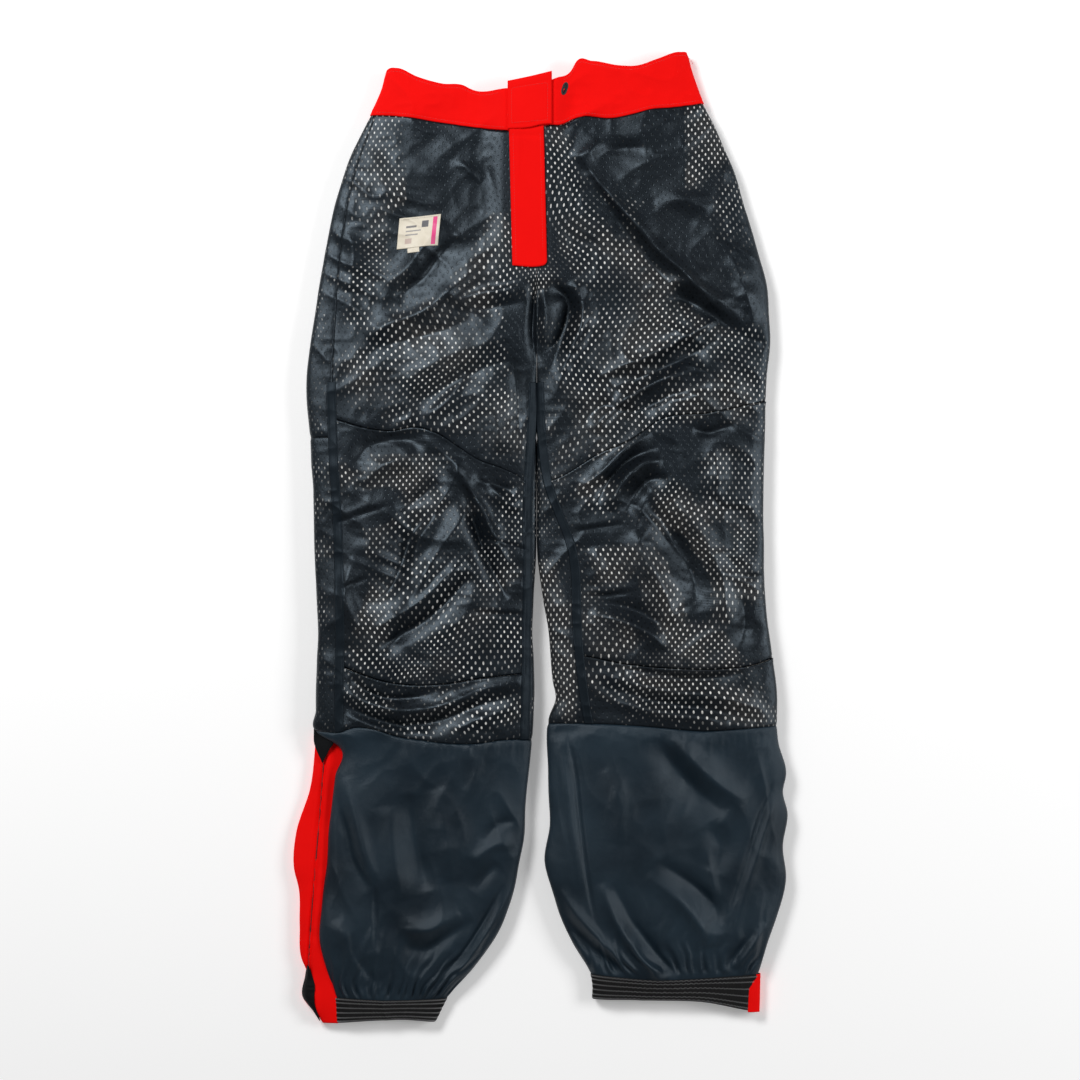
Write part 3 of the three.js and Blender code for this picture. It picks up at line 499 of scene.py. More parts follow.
def rounded(side):
    """The height of the tube's rounded edge, from 1 at its middle to 0 at side -1 and 1."""
    return np.clip(1 - np.abs(side) ** EDGE_POWER, 0, 1) ** (1 / EDGE_POWER)


def tube(half, angle, y, depth=0.0, folds=1.0):
    """Points on the flattened tube. Angle -90 is the outer edge, 0 the front, 90 inner, 180 the back."""
    turn = np.radians(angle)
    side, front = np.sin(turn), np.cos(turn)
    even = np.where(side > 0, smooth(y, CROTCH - 22, CROTCH + 40), 0)
    width = half.width(y) - depth * (1 - even)
    profile = mix(rounded(side), 1.0, even)
    x = half.middle(y) + half.inward * width * side
    thick = HALF_THICKNESS(y)
    up = smooth(front, -0.25, 0.25)
    held = fly_hold(x, y) * (front >= 0)
    top, under = np.zeros(x.shape), np.zeros(x.shape)
    if folds:
        for lift, side_up, height in ((top, up > 0, top_height), (under, up < 1, back_height)):
            lift[side_up] = height(x[side_up], y[side_up], half) * folds
    top = mix(top, FLY_Z - 2 * thick, held)
    lift = mix(-under, top, up)
    edge = np.clip(1 - np.abs(side), 0, 1) * half.width(y)
    calm = np.where(even > 0.5, 1.0, mix(0.35, 1.0, smooth(edge, 0, 16)))
    sign = np.where(front >= 0, 1.0, -1.0)
    z = thick + sign * (thick - depth) * profile + lift * calm
    bulge = noise(np.full_like(y, 40.0), y, 30, 3 if half.name == "left" else 8) * 1.2
    bulge = bulge * np.where(side > 0, 1 - smooth(y, -90, -30), 1)
    x = x + half.inward * np.sign(side) * bulge * (1 - profile) * (1 - even) * folds
    floor_z = FLOOR + 0.4 + np.maximum(depth, 0)
    near_floor = floor_z + 2 * np.exp(np.minimum((z - floor_z - 2) / 2, 0))
    return x, y, np.where(z < floor_z + 2, near_floor, z)


# ---- mesh making ----
def new_mesh(name, points, faces, uv=None, masks=None):
    mesh = bpy.data.meshes.new(name)
    mesh.from_pydata([tuple(p) for p in np.asarray(points) * MM], [], faces)
    mesh.update()
    piece = bpy.data.objects.new(name, mesh)
    bpy.context.scene.collection.objects.link(piece)
    if uv is not None:
        layer = mesh.attributes.new("cloth", "FLOAT_VECTOR", "POINT")
        data = np.zeros((len(points), 3), np.float32)
        data[:, :2] = uv
        if masks is not None:
            data[:, 2] = masks
        layer.data.foreach_set("vector", data.ravel())
    mesh.shade_smooth()
    return piece


def grid_faces(columns, rows, wrap=False):
    faces = []
    lines = columns if wrap else columns + 1
    for i in range(columns):
        a, b = i * (rows + 1), ((i + 1) % lines) * (rows + 1)
        for j in range(rows):
            faces.append((a + j, a + j + 1, b + j + 1, b + j))
    return faces


def thicken(piece, millimetres, inner_slot=0):
    """Gives a sheet its thickness, behind the surface it was made as."""
    solid = piece.modifiers.new("thickness", "SOLIDIFY")
    solid.material_offset = inner_slot
    solid.thickness = millimetres * MM
    solid.offset = -1.0
    bpy.context.view_layer.update()
    graph = bpy.context.evaluated_depsgraph_get()
    done = bpy.data.meshes.new_from_object(piece.evaluated_get(graph))
    old = piece.data
    piece.modifiers.clear()
    piece.data = done
    bpy.data.meshes.remove(old)


STEP = 2.0
SEAM_ROLL = 2.6  # how far from a seam its roll reaches
CENTRE_X = -3.5


def cut_size(points, wrap=False):
    """The flat width, length and area, in metres, that a grid of points was cut from."""
    if wrap:
        points = np.concatenate([points, points[:1]], 0)
    across = np.linalg.norm(np.diff(points, axis=0), axis=-1)
    along = np.linalg.norm(np.diff(points, axis=1), axis=-1)
    width, length = across.sum(0).max() * MM, along.sum(1).max() * MM
    cells = (across[:, 1:] + across[:, :-1]) / 2 * (along[1:] + along[:-1]) / 2
    return (float(width), float(length)), float(min(cells.sum() * MM**2, width * length))


def cloth(name, grid, material, thickness=0.7, masks=None, wrap=False, flip=False, lining=None, uv=None):
    """A sheet through a grid of points, as thick as the cloth. lining is the material of its other side."""
    columns, rows = grid.shape[0] - (0 if wrap else 1), grid.shape[1] - 1
    faces = grid_faces(columns, rows, wrap)
    if flip:
        faces = [tuple(reversed(face)) for face in faces]
    points = grid.reshape(-1, 3)
    uv = points[:, :2] * MM if uv is None else uv
    piece = new_mesh(name, points, faces, uv, None if masks is None else masks.ravel())
    piece.data.materials.append(material)
    if lining:
        piece.data.materials.append(lining)
    thicken(piece, thickness, 1 if lining else 0)
    return piece


def cloth_place(half, angle, x, y):
    """Where each point lay on the flat cloth. The cloth runs round the edges and is a little askew."""
    side, front = np.sin(np.radians(angle)), np.cos(np.radians(angle))
    round_ = rounded(side)
    thick = HALF_THICKNESS(y) * half.inward
    on_front = x + np.sign(side) * thick * (1 - round_)
    behind_outer = 2 * half.outer(y) - x - thick * (1 + round_)
    behind_inner = 2 * half.inner(y) - x + thick * (1 + round_)
    across = np.where(front >= 0, on_front, np.where(side > 0, behind_inner, behind_outer))
    across = np.where(front < -0.3, behind_outer, across)
    return across + 6.5 * noise(x, y, 64, 31), y + 9.0 * noise(x, y, 60, 32)


def panel(name, half, start, end, top, bottom, material, depth=0.0, step=STEP, thickness=0.7,
          eyelet_light_shade_and_pockets=None, dips=(1.0, 1.0, 1.0, 1.0), wrap=False, lining=None, extra=None, trim=None):
    """A patch of the tube. start and end give angles by level, top and bottom give levels by x.
    dips are how far the four edges (top, bottom, start, end) sink in."""
    y_high, y_low = float(top(half.middle(0))), float(bottom(half.middle(0)))
    centre = (y_high + y_low) / 2
    across = abs(float(end(centre)) - float(start(centre))) * math.pi / 180 * half.width(centre)
    columns = max(4, int(across / step))
    rows = max(4, int((y_high - y_low) / step))
    u, v = unit_grid(columns, rows)
    if wrap:
        u, v = u[:-1], v[:-1]
    y = mix(y_high, y_low, v)
    for _ in range(3):
        x = half.at(mix(start(y), end(y), u), y)
        y = mix(top(x), bottom(x), v)
    angle = mix(start(y), end(y), u)
    if trim:
        angle = trim(half.at(angle, y), y, angle)
    cut_size(np.stack(tube(half, angle, y, depth, folds=0.0), -1), wrap)
    length = y_high - y_low
    from_edges = (v * length, (1 - v) * length, u * across, (1 - u) * across)
    if wrap:
        from_edges = from_edges[:2]
    sunk = sum(dip * bell(away, SEAM_ROLL) for dip, away in zip(dips, from_edges))
    if extra:
        sunk = sunk - extra(x, y, angle)
    x, y, z = tube(half, angle, y, depth + sunk)
    back = np.cos(np.radians(angle)) < 0
    uv = np.stack([part.ravel() for part in cloth_place(half, angle, x, y)], 1) * MM
    # Painted light and shade behind the eyelets, and dark over the pocket bags.
    masks = None if eyelet_light_shade_and_pockets is None else eyelet_light_shade_and_pockets(x, y, back)
    grid = np.stack([x, y, z], -1)
    return cloth(name, grid, material, thickness, masks, wrap, half.inward < 0, lining, uv)


def on_top(x, y, lift=0.0):
    """The height of the front's upper surface over each place."""
    x, y = np.broadcast_arrays(np.asarray(x, float), np.asarray(y, float))
    z = np.empty(x.shape)
    for half, mine in ((LEFT, x < CENTRE_X), (RIGHT, x >= CENTRE_X)):
        z[mine] = tube(half, half.angle(x[mine], y[mine]), y[mine])[2]
    return z + lift


def threads(name, segments, material, radius=0.28, sides=5):
    """One mesh of short threads. Each segment is two points, and its thread dives in at both ends."""
    points, faces = [], []
    rings = ((0.0, 0.35, -0.8), (0.2, 1.0, 0.1), (0.8, 1.0, 0.1), (1.0, 0.35, -0.8))
    for a, b in segments:
        a, b = np.asarray(a, float), np.asarray(b, float)
        along = (b - a) / max(np.linalg.norm(b - a), 1e-6)
        up = np.array([0, 0, 1.0]) - along * along[2]
        up = up / max(np.linalg.norm(up), 1e-6)
        out = np.cross(along, up)
        base = len(points)
        for t, size, rise in rings:
            middle = a + (b - a) * t + up * rise * radius
            for k in range(sides):
                turn = TAU * k / sides
                points.append(middle + radius * size * (math.cos(turn) * up + math.sin(turn) * out))
        for ring in range(len(rings) - 1):
            for k in range(sides):
                p, q = base + ring * sides + k, base + ring * sides + (k + 1) % sides
                faces.append((p, q, q + sides, p + sides))
        faces.append(tuple(base + k for k in reversed(range(sides))))
        faces.append(tuple(base + (len(rings) - 1) * sides + k for k in range(sides)))
    piece = new_mesh(name, points, faces)
    piece.data.materials.append(material)
    return piece


def resample(route, pitch):
    route = np.asarray(route, float)
    at = np.concatenate([[0], np.cumsum(np.linalg.norm(np.diff(route, axis=0), axis=1))])
    steps = np.linspace(0, at[-1], max(2, int(at[-1] / pitch) + 1))
    return np.stack([np.interp(steps, at, route[:, k]) for k in range(route.shape[1])], 1)


def running(route, height, pitch=3.2, share=0.72):
    """Segments of a straight row of stitches along an (x, y) route."""
    flat = resample(route, pitch)
    a, b = flat[:-1], flat[:-1] + (flat[1:] - flat[:-1]) * share
    return [((*p, p_z), (*q, q_z)) for p, q, p_z, q_z in zip(
        a, b, height(a[:, 0], a[:, 1]), height(b[:, 0], b[:, 1]))]


# Each pocket bag: its two sides' x, and its lower edge.
POCKETS = {
    "left": (-140, -34, curve((-145, 352), (-90, 346), (-34, 343))),
    "right": (40, 152, curve((38, 404), (80, 368), (120, 358), (152, 366))),
}

# ---- where the white back of the shell shows through the eyelets, with painted light and shade ----
# Soft patches: value, centre x and y, half sizes, turn in degrees.
# Painted light: where the white behind the eyelets is painted bright.
LIT_EYELET_PATCHES = [
    (0.75, -160, 400, 22, 70, 8), (0.55, -178, 330, 22, 60, 8), (0.75, -190, 250, 18, 40, 0),
    (1.0, -58, 290, 34, 46, -25), (0.9, -20, 270, 30, 20, 0), (0.8, -90, 240, 50, 22, 15),
    (0.7, -45, 350, 10, 50, 0), (0.9, -120, 190, 80, 42, 0), (0.8, -100, 140, 80, 26, -5),
    (0.7, -40, 120, 30, 40, 0), (0.95, -190, 80, 22, 26, 0),
    (1.0, 30, 350, 18, 60, 20), (1.0, 50, 310, 30, 50, 30), (1.0, 22, 395, 14, 40, 0),
    (1.0, 168, 420, 34, 60, -24), (0.8, 196, 350, 20, 50, -20), (0.8, 90, 270, 60, 40, -35),
    (1.0, 100, 220, 70, 36, 10), (0.95, 70, 180, 50, 40, 0), (0.75, 190, 210, 50, 30, -10),
    (0.9, 150, 140, 70, 18, 14), (0.8, 70, 120, 40, 30, 35), (0.9, 214, 170, 26, 40, 0),
    (0.85, -150, 66, 40, 30, 20), (0.8, -128, 30, 34, 20, 30), (0.7, -180, 10, 24, 30, 0),
    (0.85, -110, -50, 44, 34, 35), (1.0, -60, -110, 60, 34, 5), (0.8, -170, -80, 34, 26, 30),
    (0.9, -50, -30, 26, 26, 0), (0.8, -28, 20, 18, 30, 0), (0.9, -160, -130, 40, 14, -10),
    (1.0, -80, -186, 80, 16, 10), (0.8, -180, -168, 30, 14, -20),
    (0.9, 60, 46, 22, 20, 0), (0.9, 80, -22, 26, 28, 0), (1.0, 150, 20, 26, 46, 30),
    (1.0, 180, -40, 30, 52, 25), (0.9, 128, -60, 22, 52, 20), (0.8, 200, 60, 34, 40, 0),
    (0.8, 216, -30, 16, 50, 0), (0.8, 70, -100, 30, 22, -20), (1.0, 170, -110, 46, 20, -20),
    (1.0, 160, -170, 80, 22, -8), (0.9, 80, -150, 34, 22, -10), (1.0, 19, -110, 14, 92, 8),
]
# Painted shade where the lining stands off the shell, and dark over the pocket bags, where the dark pocket
# cloth lies behind.
SHADE_AND_POCKET_PATCHES = [
    (1.0, -88, 400, 52, 54, 0), (0.7, -112, 320, 50, 40, 0), (1.0, 96, 405, 54, 42, -8),
    (0.9, 150, 320, 46, 40, -30), (0.8, 196, 250, 34, 26, -20), (0.7, -20, 220, 16, 50, 0),
    (0.8, -196, 100, 18, 26, 0), (0.8, -150, 100, 70, 10, 0), (0.9, -170, 34, 30, 18, 20),
    (0.9, -80, 62, 20, 18, 0), (1.0, 156, -34, 16, 46, 25), (0.8, 150, 100, 70, 12, 12),
    (0.9, -200, -30, 16, 60, 0), (0.8, 70, 4, 40, 12, 0), (0.7, 216, -90, 16, 30, 0),
]


def patches(x, y, table):
    """The strongest of the soft oval patches at each place."""
    total = np.zeros_like(x)
    for value, cx, cy, rx, ry, turn in table:
        c, s = math.cos(math.radians(turn)), math.sin(math.radians(turn))
        dx, dy = x - cx, y - cy
        away = ((dx * c + dy * s) / rx) ** 2 + ((dy * c - dx * s) / ry) ** 2
        total = np.maximum(total, value * smooth(1.5 - away, 0, 1))
    return total


def front_eyelet_light_shade_and_pockets(x, y, back):
    """How bright the white behind each eyelet is painted: painted light where the shell's back lies close
    behind it, painted shade where the lining stands off it, and dark over the pocket bags.
    """
    # Painted light in the lit patches, painted shade in the shaded ones.
    shown = mix(0.24, 0.90, patches(x, y, LIT_EYELET_PATCHES)) + layered(x, y, 22, 15) * 0.62
    shown = shown - 1.1 * patches(x, y, SHADE_AND_POCKET_PATCHES)
    for low_x, high_x, bottom in POCKETS.values():
        inside = smooth(x, low_x - 1.5, low_x + 0.5) * (1 - smooth(x, high_x - 0.5, high_x + 1.5))
        shown = shown * (1 - 0.97 * inside * smooth(y - bottom(x), -1.5, 0.5))
    behind = 0.75 + layered(x, y, 44, 21) * 0.5
    return np.clip(np.where(back, behind, shown), 0, 1)


# ---- materials ----
class Nodes:
    def __init__(self, name):
        self.material = bpy.data.materials.new(name)
        self.material.use_nodes = True
        self.tree = self.material.node_tree
        self.shader = self.tree.nodes["Principled BSDF"]

    def node(self, kind, **values):
        made = self.tree.nodes.new(kind)
        for key, value in values.items():
            setattr(made, key, value)
        return made

    def join(self, source, target):
        self.tree.links.new(source, target)

    def feed(self, value, socket):
        """Joins another node's output to a socket, or writes a plain value into it."""
        if hasattr(value, "is_output"):
            self.join(value, socket)
        else:
            socket.default_value = value

    def math(self, operation, a, b=0.0):
        made = self.node("ShaderNodeMath", operation=operation)
        self.feed(a, made.inputs[0])
        self.feed(b, made.inputs[1])
        return made.outputs[0]

    def plus(self, a, b):
        return self.math("ADD", a, b)

    def minus(self, a, b):
        return self.math("SUBTRACT", a, b)

    def times(self, a, b):
        return self.math("MULTIPLY", a, b)

    def ribs(self, value, pitch):
        """A fine wave whose crests are pitch millimetres apart."""
        return self.math("SINE", self.times(value, TAU / (pitch * MM)))

    def attribute(self):
        """The place on the flat cloth, and in the third number how bright the white behind the eyelets is
        painted: painted light and shade, and dark over the pocket bags.
        """
        return self.node("ShaderNodeAttribute", attribute_name="cloth").outputs["Vector"]

    def object_place(self):
        return self.node("ShaderNodeTexCoord").outputs["Object"]

    def split(self, vector):
        made = self.node("ShaderNodeSeparateXYZ")
        self.join(vector, made.inputs[0])
        return made.outputs

    def noise(self, vector, scale, detail=3.0, roughness=0.5):
        made = self.node("ShaderNodeTexNoise")
        made.inputs["Scale"].default_value = scale
        made.inputs["Detail"].default_value = detail
        made.inputs["Roughness"].default_value = roughness
        self.join(vector, made.inputs["Vector"])
        return made.outputs["Fac"]

    def mix_colour(self, amount, a, b):
        made = self.node("ShaderNodeMix", data_type="RGBA")
        self.join(amount, made.inputs[0])
        for value, socket in ((a, made.inputs[6]), (b, made.inputs[7])):
            self.feed((*value, 1) if isinstance(value, tuple) else value, socket)
        return made.outputs[2]

    def ramp(self, *values):
        """Maps a value, given with its lowest and highest, onto two others."""
        made = self.node("ShaderNodeMapRange", clamp=True)
        for value, socket in zip(values, made.inputs):
            self.feed(value, socket)
        return made.outputs[0]

    def bump(self, height, strength, distance):
        made = self.node("ShaderNodeBump")
        made.inputs["Strength"].default_value = strength
        made.inputs["Distance"].default_value = distance
        self.join(height, made.inputs["Height"])
        self.join(made.outputs[0], self.shader.inputs["Normal"])

    def set(self, **values):
        for key, value in values.items():
            self.feed(value, self.shader.inputs[key.replace("_", " ")])

    def finish(self, colour, height, strength, distance, **values):
        """Joins up the colour and the bump, sets the rest, and hands over the material."""
        self.join(colour, self.shader.inputs["Base Color"])
        self.bump(height, strength, distance)
        self.set(**values)
        return self.material


EYELET_ACROSS, EYELET_ALONG = 7.7 * MM, 4.7 * MM
EYELET_RADII = (0.90 * MM, 1.42 * MM)


def mesh_material():
    """Black knitted mesh: rows of eyelets, every second row half a step aside. The white behind the eyelets
    is painted in the colour, with painted light and shade.
    """
    n = Nodes("knitted_mesh")
    u, v, light_shade_and_pockets = n.split(n.attribute())[0:3]
    row = n.math("FLOOR", n.math("DIVIDE", v, EYELET_ALONG))
    shift = n.times(n.math("PINGPONG", row, 1.0), 0.5)
    across = n.math("FRACT", n.plus(n.math("DIVIDE", u, EYELET_ACROSS), shift))
    along = n.math("FRACT", n.math("DIVIDE", v, EYELET_ALONG))
    dx = n.times(n.minus(across, 0.5), EYELET_ACROSS / EYELET_RADII[0])
    dy = n.times(n.minus(along, 0.5), EYELET_ALONG / EYELET_RADII[1])
    away = n.math("SQRT", n.plus(n.times(dx, dx), n.times(dy, dy)))
    hole = n.ramp(away, 0.8, 1.15, 1, 0)
    place = n.object_place()
    grain = n.noise(place, 900, 2)
    cloud = n.noise(place, 14, 4)
    eyelet_light_noise = n.noise(place, 170, 2)
    dark = n.mix_colour(cloud, (0.0022, 0.0034, 0.0052), (0.0060, 0.0085, 0.0120))
    # Painted light: the mesh is greyed in small flecks where the white behind it is painted lit.
    fleck = n.ramp(n.noise(place, 520, 3), 0.42, 0.72, 0.25, 1.0)
    grey_where_lit = n.times(n.ramp(n.noise(place, 11, 2), 0.42, 0.60, 0, 1), fleck)
    grey_where_lit = n.times(grey_where_lit, n.ramp(light_shade_and_pockets, 0.30, 0.95, 0.05, 0.85))
    warm = n.mix_colour(grey_where_lit, dark, (0.060, 0.055, 0.051))
    # Painted light and shade: the white seen through each eyelet, set by the mask and varied by noise.
    seen = n.plus(light_shade_and_pockets, n.times(n.minus(eyelet_light_noise, 0.5), 1.3))
    seen = n.math("POWER", n.ramp(seen, 0.15, 1.0, 0, 1), 1.5)
    pit = n.mix_colour(seen, (0.0012, 0.0016, 0.0022), (0.80, 0.79, 0.76))
    rib = n.ribs(v, 1.15)
    wale = n.ribs(u, 0.95)
    knit = n.plus(n.times(rib, 0.10), n.times(wale, 0.07))
    body = n.plus(n.times(grain, 0.2), knit)
    height = n.minus(body, n.times(hole, 0.9))
    return n.finish(n.mix_colour(hole, warm, pit), height, 0.35, 0.0006, Roughness=0.38,
                    Specular_IOR_Level=0.46, Specular_Tint=(0.70, 0.86, 1.0, 1))


def nylon_material():
    n = Nodes("navy_nylon_cloth")
    place = n.object_place()
    u, v, _ = n.split(n.attribute())[0:3]
    weave = n.times(n.ribs(u, 0.55), n.ribs(v, 0.55))
    crease = n.noise(place, 58, 5, 0.62)
    cloud = n.ramp(n.noise(place, 13, 4), 0.32, 0.66, 0, 1)
    colour = n.mix_colour(cloud, (0.0040, 0.0095, 0.0160), (0.0120, 0.0245, 0.0370))
    height = n.plus(n.times(weave, 0.05), n.times(crease, 1.1))
    return n.finish(colour, height, 0.5, 0.0012, Roughness=n.ramp(cloud, 0, 1, 0.34, 0.42),
                    Specular_IOR_Level=0.42, Specular_Tint=(0.80, 0.91, 1.0, 1))


def woven_material(name, dark, light, roughness=0.62, pitch=0.7, sheen=0.05, attribute=True, specular=0.4,
                   tint=(1.0, 1.0, 1.0)):
    """A close weave. Its threads are pitch millimetres apart, and its colour drifts from dark to light."""
    n = Nodes(name)
    place = n.object_place()
    x, y, _ = n.split(n.attribute() if attribute else place)[0:3]
    warp = n.ribs(n.plus(x, y), pitch)
    weft = n.ribs(n.minus(x, y), pitch * 1.9)
    weave = n.plus(n.times(warp, 0.5), n.times(weft, 0.3))
    colour = n.mix_colour(n.noise(place, 22, 4), dark, light)
    height = n.plus(n.times(weave, 0.16), n.noise(place, 160, 3))
    return n.finish(colour, height, 0.28, 0.0006, Roughness=roughness, Sheen_Weight=sheen,
                    Sheen_Roughness=0.5, Specular_IOR_Level=specular, Specular_Tint=(*tint, 1))


def elastic_material():
    n = Nodes("ribbed_elastic")
    u, v, _ = n.split(n.attribute())[0:3]
    grain = n.noise(n.object_place(), 420, 3)
    colour = n.mix_colour(grain, (0.0030, 0.0030, 0.0034), (0.0100, 0.0100, 0.0105))
    height = n.plus(n.times(n.ribs(u, 0.9), 0.35), n.times(n.ribs(v, 1.3), 0.25))
    return n.finish(colour, n.plus(height, grain), 0.4, 0.0005, Roughness=0.7, Specular_IOR_Level=0.22)


def thread_material(name, colour, roughness=0.5):
    n = Nodes(name)
    fibre = n.noise(n.object_place(), 2600, 2)
    dark = tuple(0.72 * value for value in colour)
    colour = n.mix_colour(fibre, dark, colour)
    return n.finish(colour, fibre, 0.3, 0.0001, Roughness=roughness, Sheen_Weight=0.3)


def label_material(name, printed):
    """Satin weave, and on the printed one a pink stripe and faint plain blocks."""
    n = Nodes(name)
    u, v, _ = n.split(n.attribute())[0:3]
    warp = n.ribs(u, 0.3)
    cloud = n.noise(n.object_place(), 60, 3)
    colour = n.mix_colour(cloud, (0.70, 0.62, 0.48), (0.84, 0.78, 0.66))
    if printed:
        def inside(value, low, high):
            above = n.math("GREATER_THAN", value, low * MM)
            return n.times(above, n.math("LESS_THAN", value, high * MM))

        def block(u0, u1, v0, v1):
            return n.times(inside(u, u0, u1), inside(v, v0, v1))

        for u0, u1, v0, v1, paint in (
            (36.0, 40.5, 2.0, 31.0, (0.80, 0.06, 0.25)), (8.0, 19.0, 9.0, 11.2, (0.16, 0.15, 0.15)),
            (8.0, 24.0, 14.0, 15.4, (0.30, 0.28, 0.27)), (8.0, 21.0, 18.0, 19.4, (0.30, 0.28, 0.27)),
            (24.5, 31.5, 5.0, 12.0, (0.10, 0.10, 0.11)), (8.0, 15.0, 22.5, 28.0, (0.55, 0.42, 0.36)),
        ):
            colour = n.mix_colour(block(u0, u1, v0, v1), colour, paint)
    height = n.plus(n.times(warp, 0.2), cloud)
    return n.finish(colour, height, 0.2, 0.0004, Roughness=0.42, Sheen_Weight=0.2)


def metal_material():
    n = Nodes("brushed_metal")
    scratch = n.noise(n.object_place(), 700, 4)
    colour = n.mix_colour(scratch, (0.42, 0.42, 0.43), (0.62, 0.62, 0.63))
    dull = n.ramp(scratch, 0.3, 0.7, 0.24, 0.42)
    return n.finish(colour, scratch, 0.15, 0.0001, Roughness=dull, Metallic=1.0)


MESH = mesh_material()
MESH_PLAIN = woven_material("plain_black_cloth", (0.0015, 0.0018, 0.0024), (0.0040, 0.0050, 0.0060), 0.7,
                            sheen=0.0, specular=0.18)
NYLON = nylon_material()
RED = woven_material("red_shell_cloth", (0.90, 0.0012, 0.0006), (1.0, 0.002, 0.001), 0.8,
                     sheen=0.0, specular=0.12)
WHITE_COAT = woven_material("white_coated_back", (0.62, 0.61, 0.58), (0.74, 0.73, 0.70), 0.7)
BLACK_TAPE = woven_material("black_seam_tape", (0.0022, 0.0038, 0.0060), (0.0058, 0.0092, 0.0130), 0.5, 1.4,
                            sheen=0.0, specular=0.28, tint=(0.66, 0.84, 1.0))
# Dark pocket cloth; the same colour also serves as the painted shade in the buttonhole.
DARK_CLOTH_AND_HOLE_SHADE = woven_material("dark_pocket_cloth_and_hole_shade", (0.006, 0.008, 0.010), (0.012, 0.015, 0.019), 0.7)
ELASTIC = elastic_material()
METAL = metal_material()
LABEL = label_material("label_satin_cloth", True)
LABEL_PLAIN = label_material("plain_label_cloth", False)
ZIP_CLOTH = woven_material("zip_tape_cloth", (0.14, 0.006, 0.005), (0.20, 0.009, 0.007), 0.7, attribute=False)
ZIP_PLASTIC = woven_material("zip_plastic", (0.09, 0.006, 0.006), (0.13, 0.009, 0.009), 0.35, 3.0, 0.0, False)
RED_THREAD = thread_material("red_thread", (0.85, 0.004, 0.003))
GREY_THREAD = thread_material("grey_thread", (0.17, 0.17, 0.175))
BLACK_THREAD = thread_material("black_thread", (0.010, 0.011, 0.013))
CREAM_THREAD = thread_material("cream_thread", (0.75, 0.70, 0.60))


def across_joint(piece):
    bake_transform(piece)


def settle(piece, where, nodes=()):
    """Attaches a finished piece to its body, or bakes its transform where it lies across a hip or knee fold,
    and hides the CAD nodes it stands for.
    """
    if where.startswith("hip fold"):
        across_joint(piece)
    elif where.startswith("knee fold"):
        across_joint(piece)
    else:
        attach(piece, where)
    if nodes:
        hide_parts(*nodes)


THIGH_SPLIT = CROTCH - 66  # the cross seam at the back of the thigh
TAPE_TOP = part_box("inseam_tape_thigh_left")[1].y / MM
# Angles round the tube: the front and back pieces stop just short of each other at both edges.
FRONT_OUTER, FRONT_INNER, BACK_INNER, BACK_OUTER = -89.6, 89.6, 90.4, 269.6
FLY_EDGE = {"left": -25.2, "right": 1.2}  # where the lining's front edges lie beside the zip


def inner_edge(inseam, centre):
    """The inseam's angles, level by level, and from the crotch upwards the centre seam's."""
    return lambda y: mix(inseam(y), centre, smooth(y, CROTCH - 30, CROTCH + 20))


def beside_zip(half):
    """Draws the lining's inner edge back, so that it lies beside the zip and not over it."""
    centre = float(half.inner(CROTCH))
    draw = abs(FLY_EDGE[half.name] - centre)

    def trim(x, y, angle):
        near = smooth((x - centre) * half.inward, -62, 0) * smooth(y, 290, 303)
        return np.where(near > 0, half.angle(x - half.inward * draw * near, y), angle)
    return trim


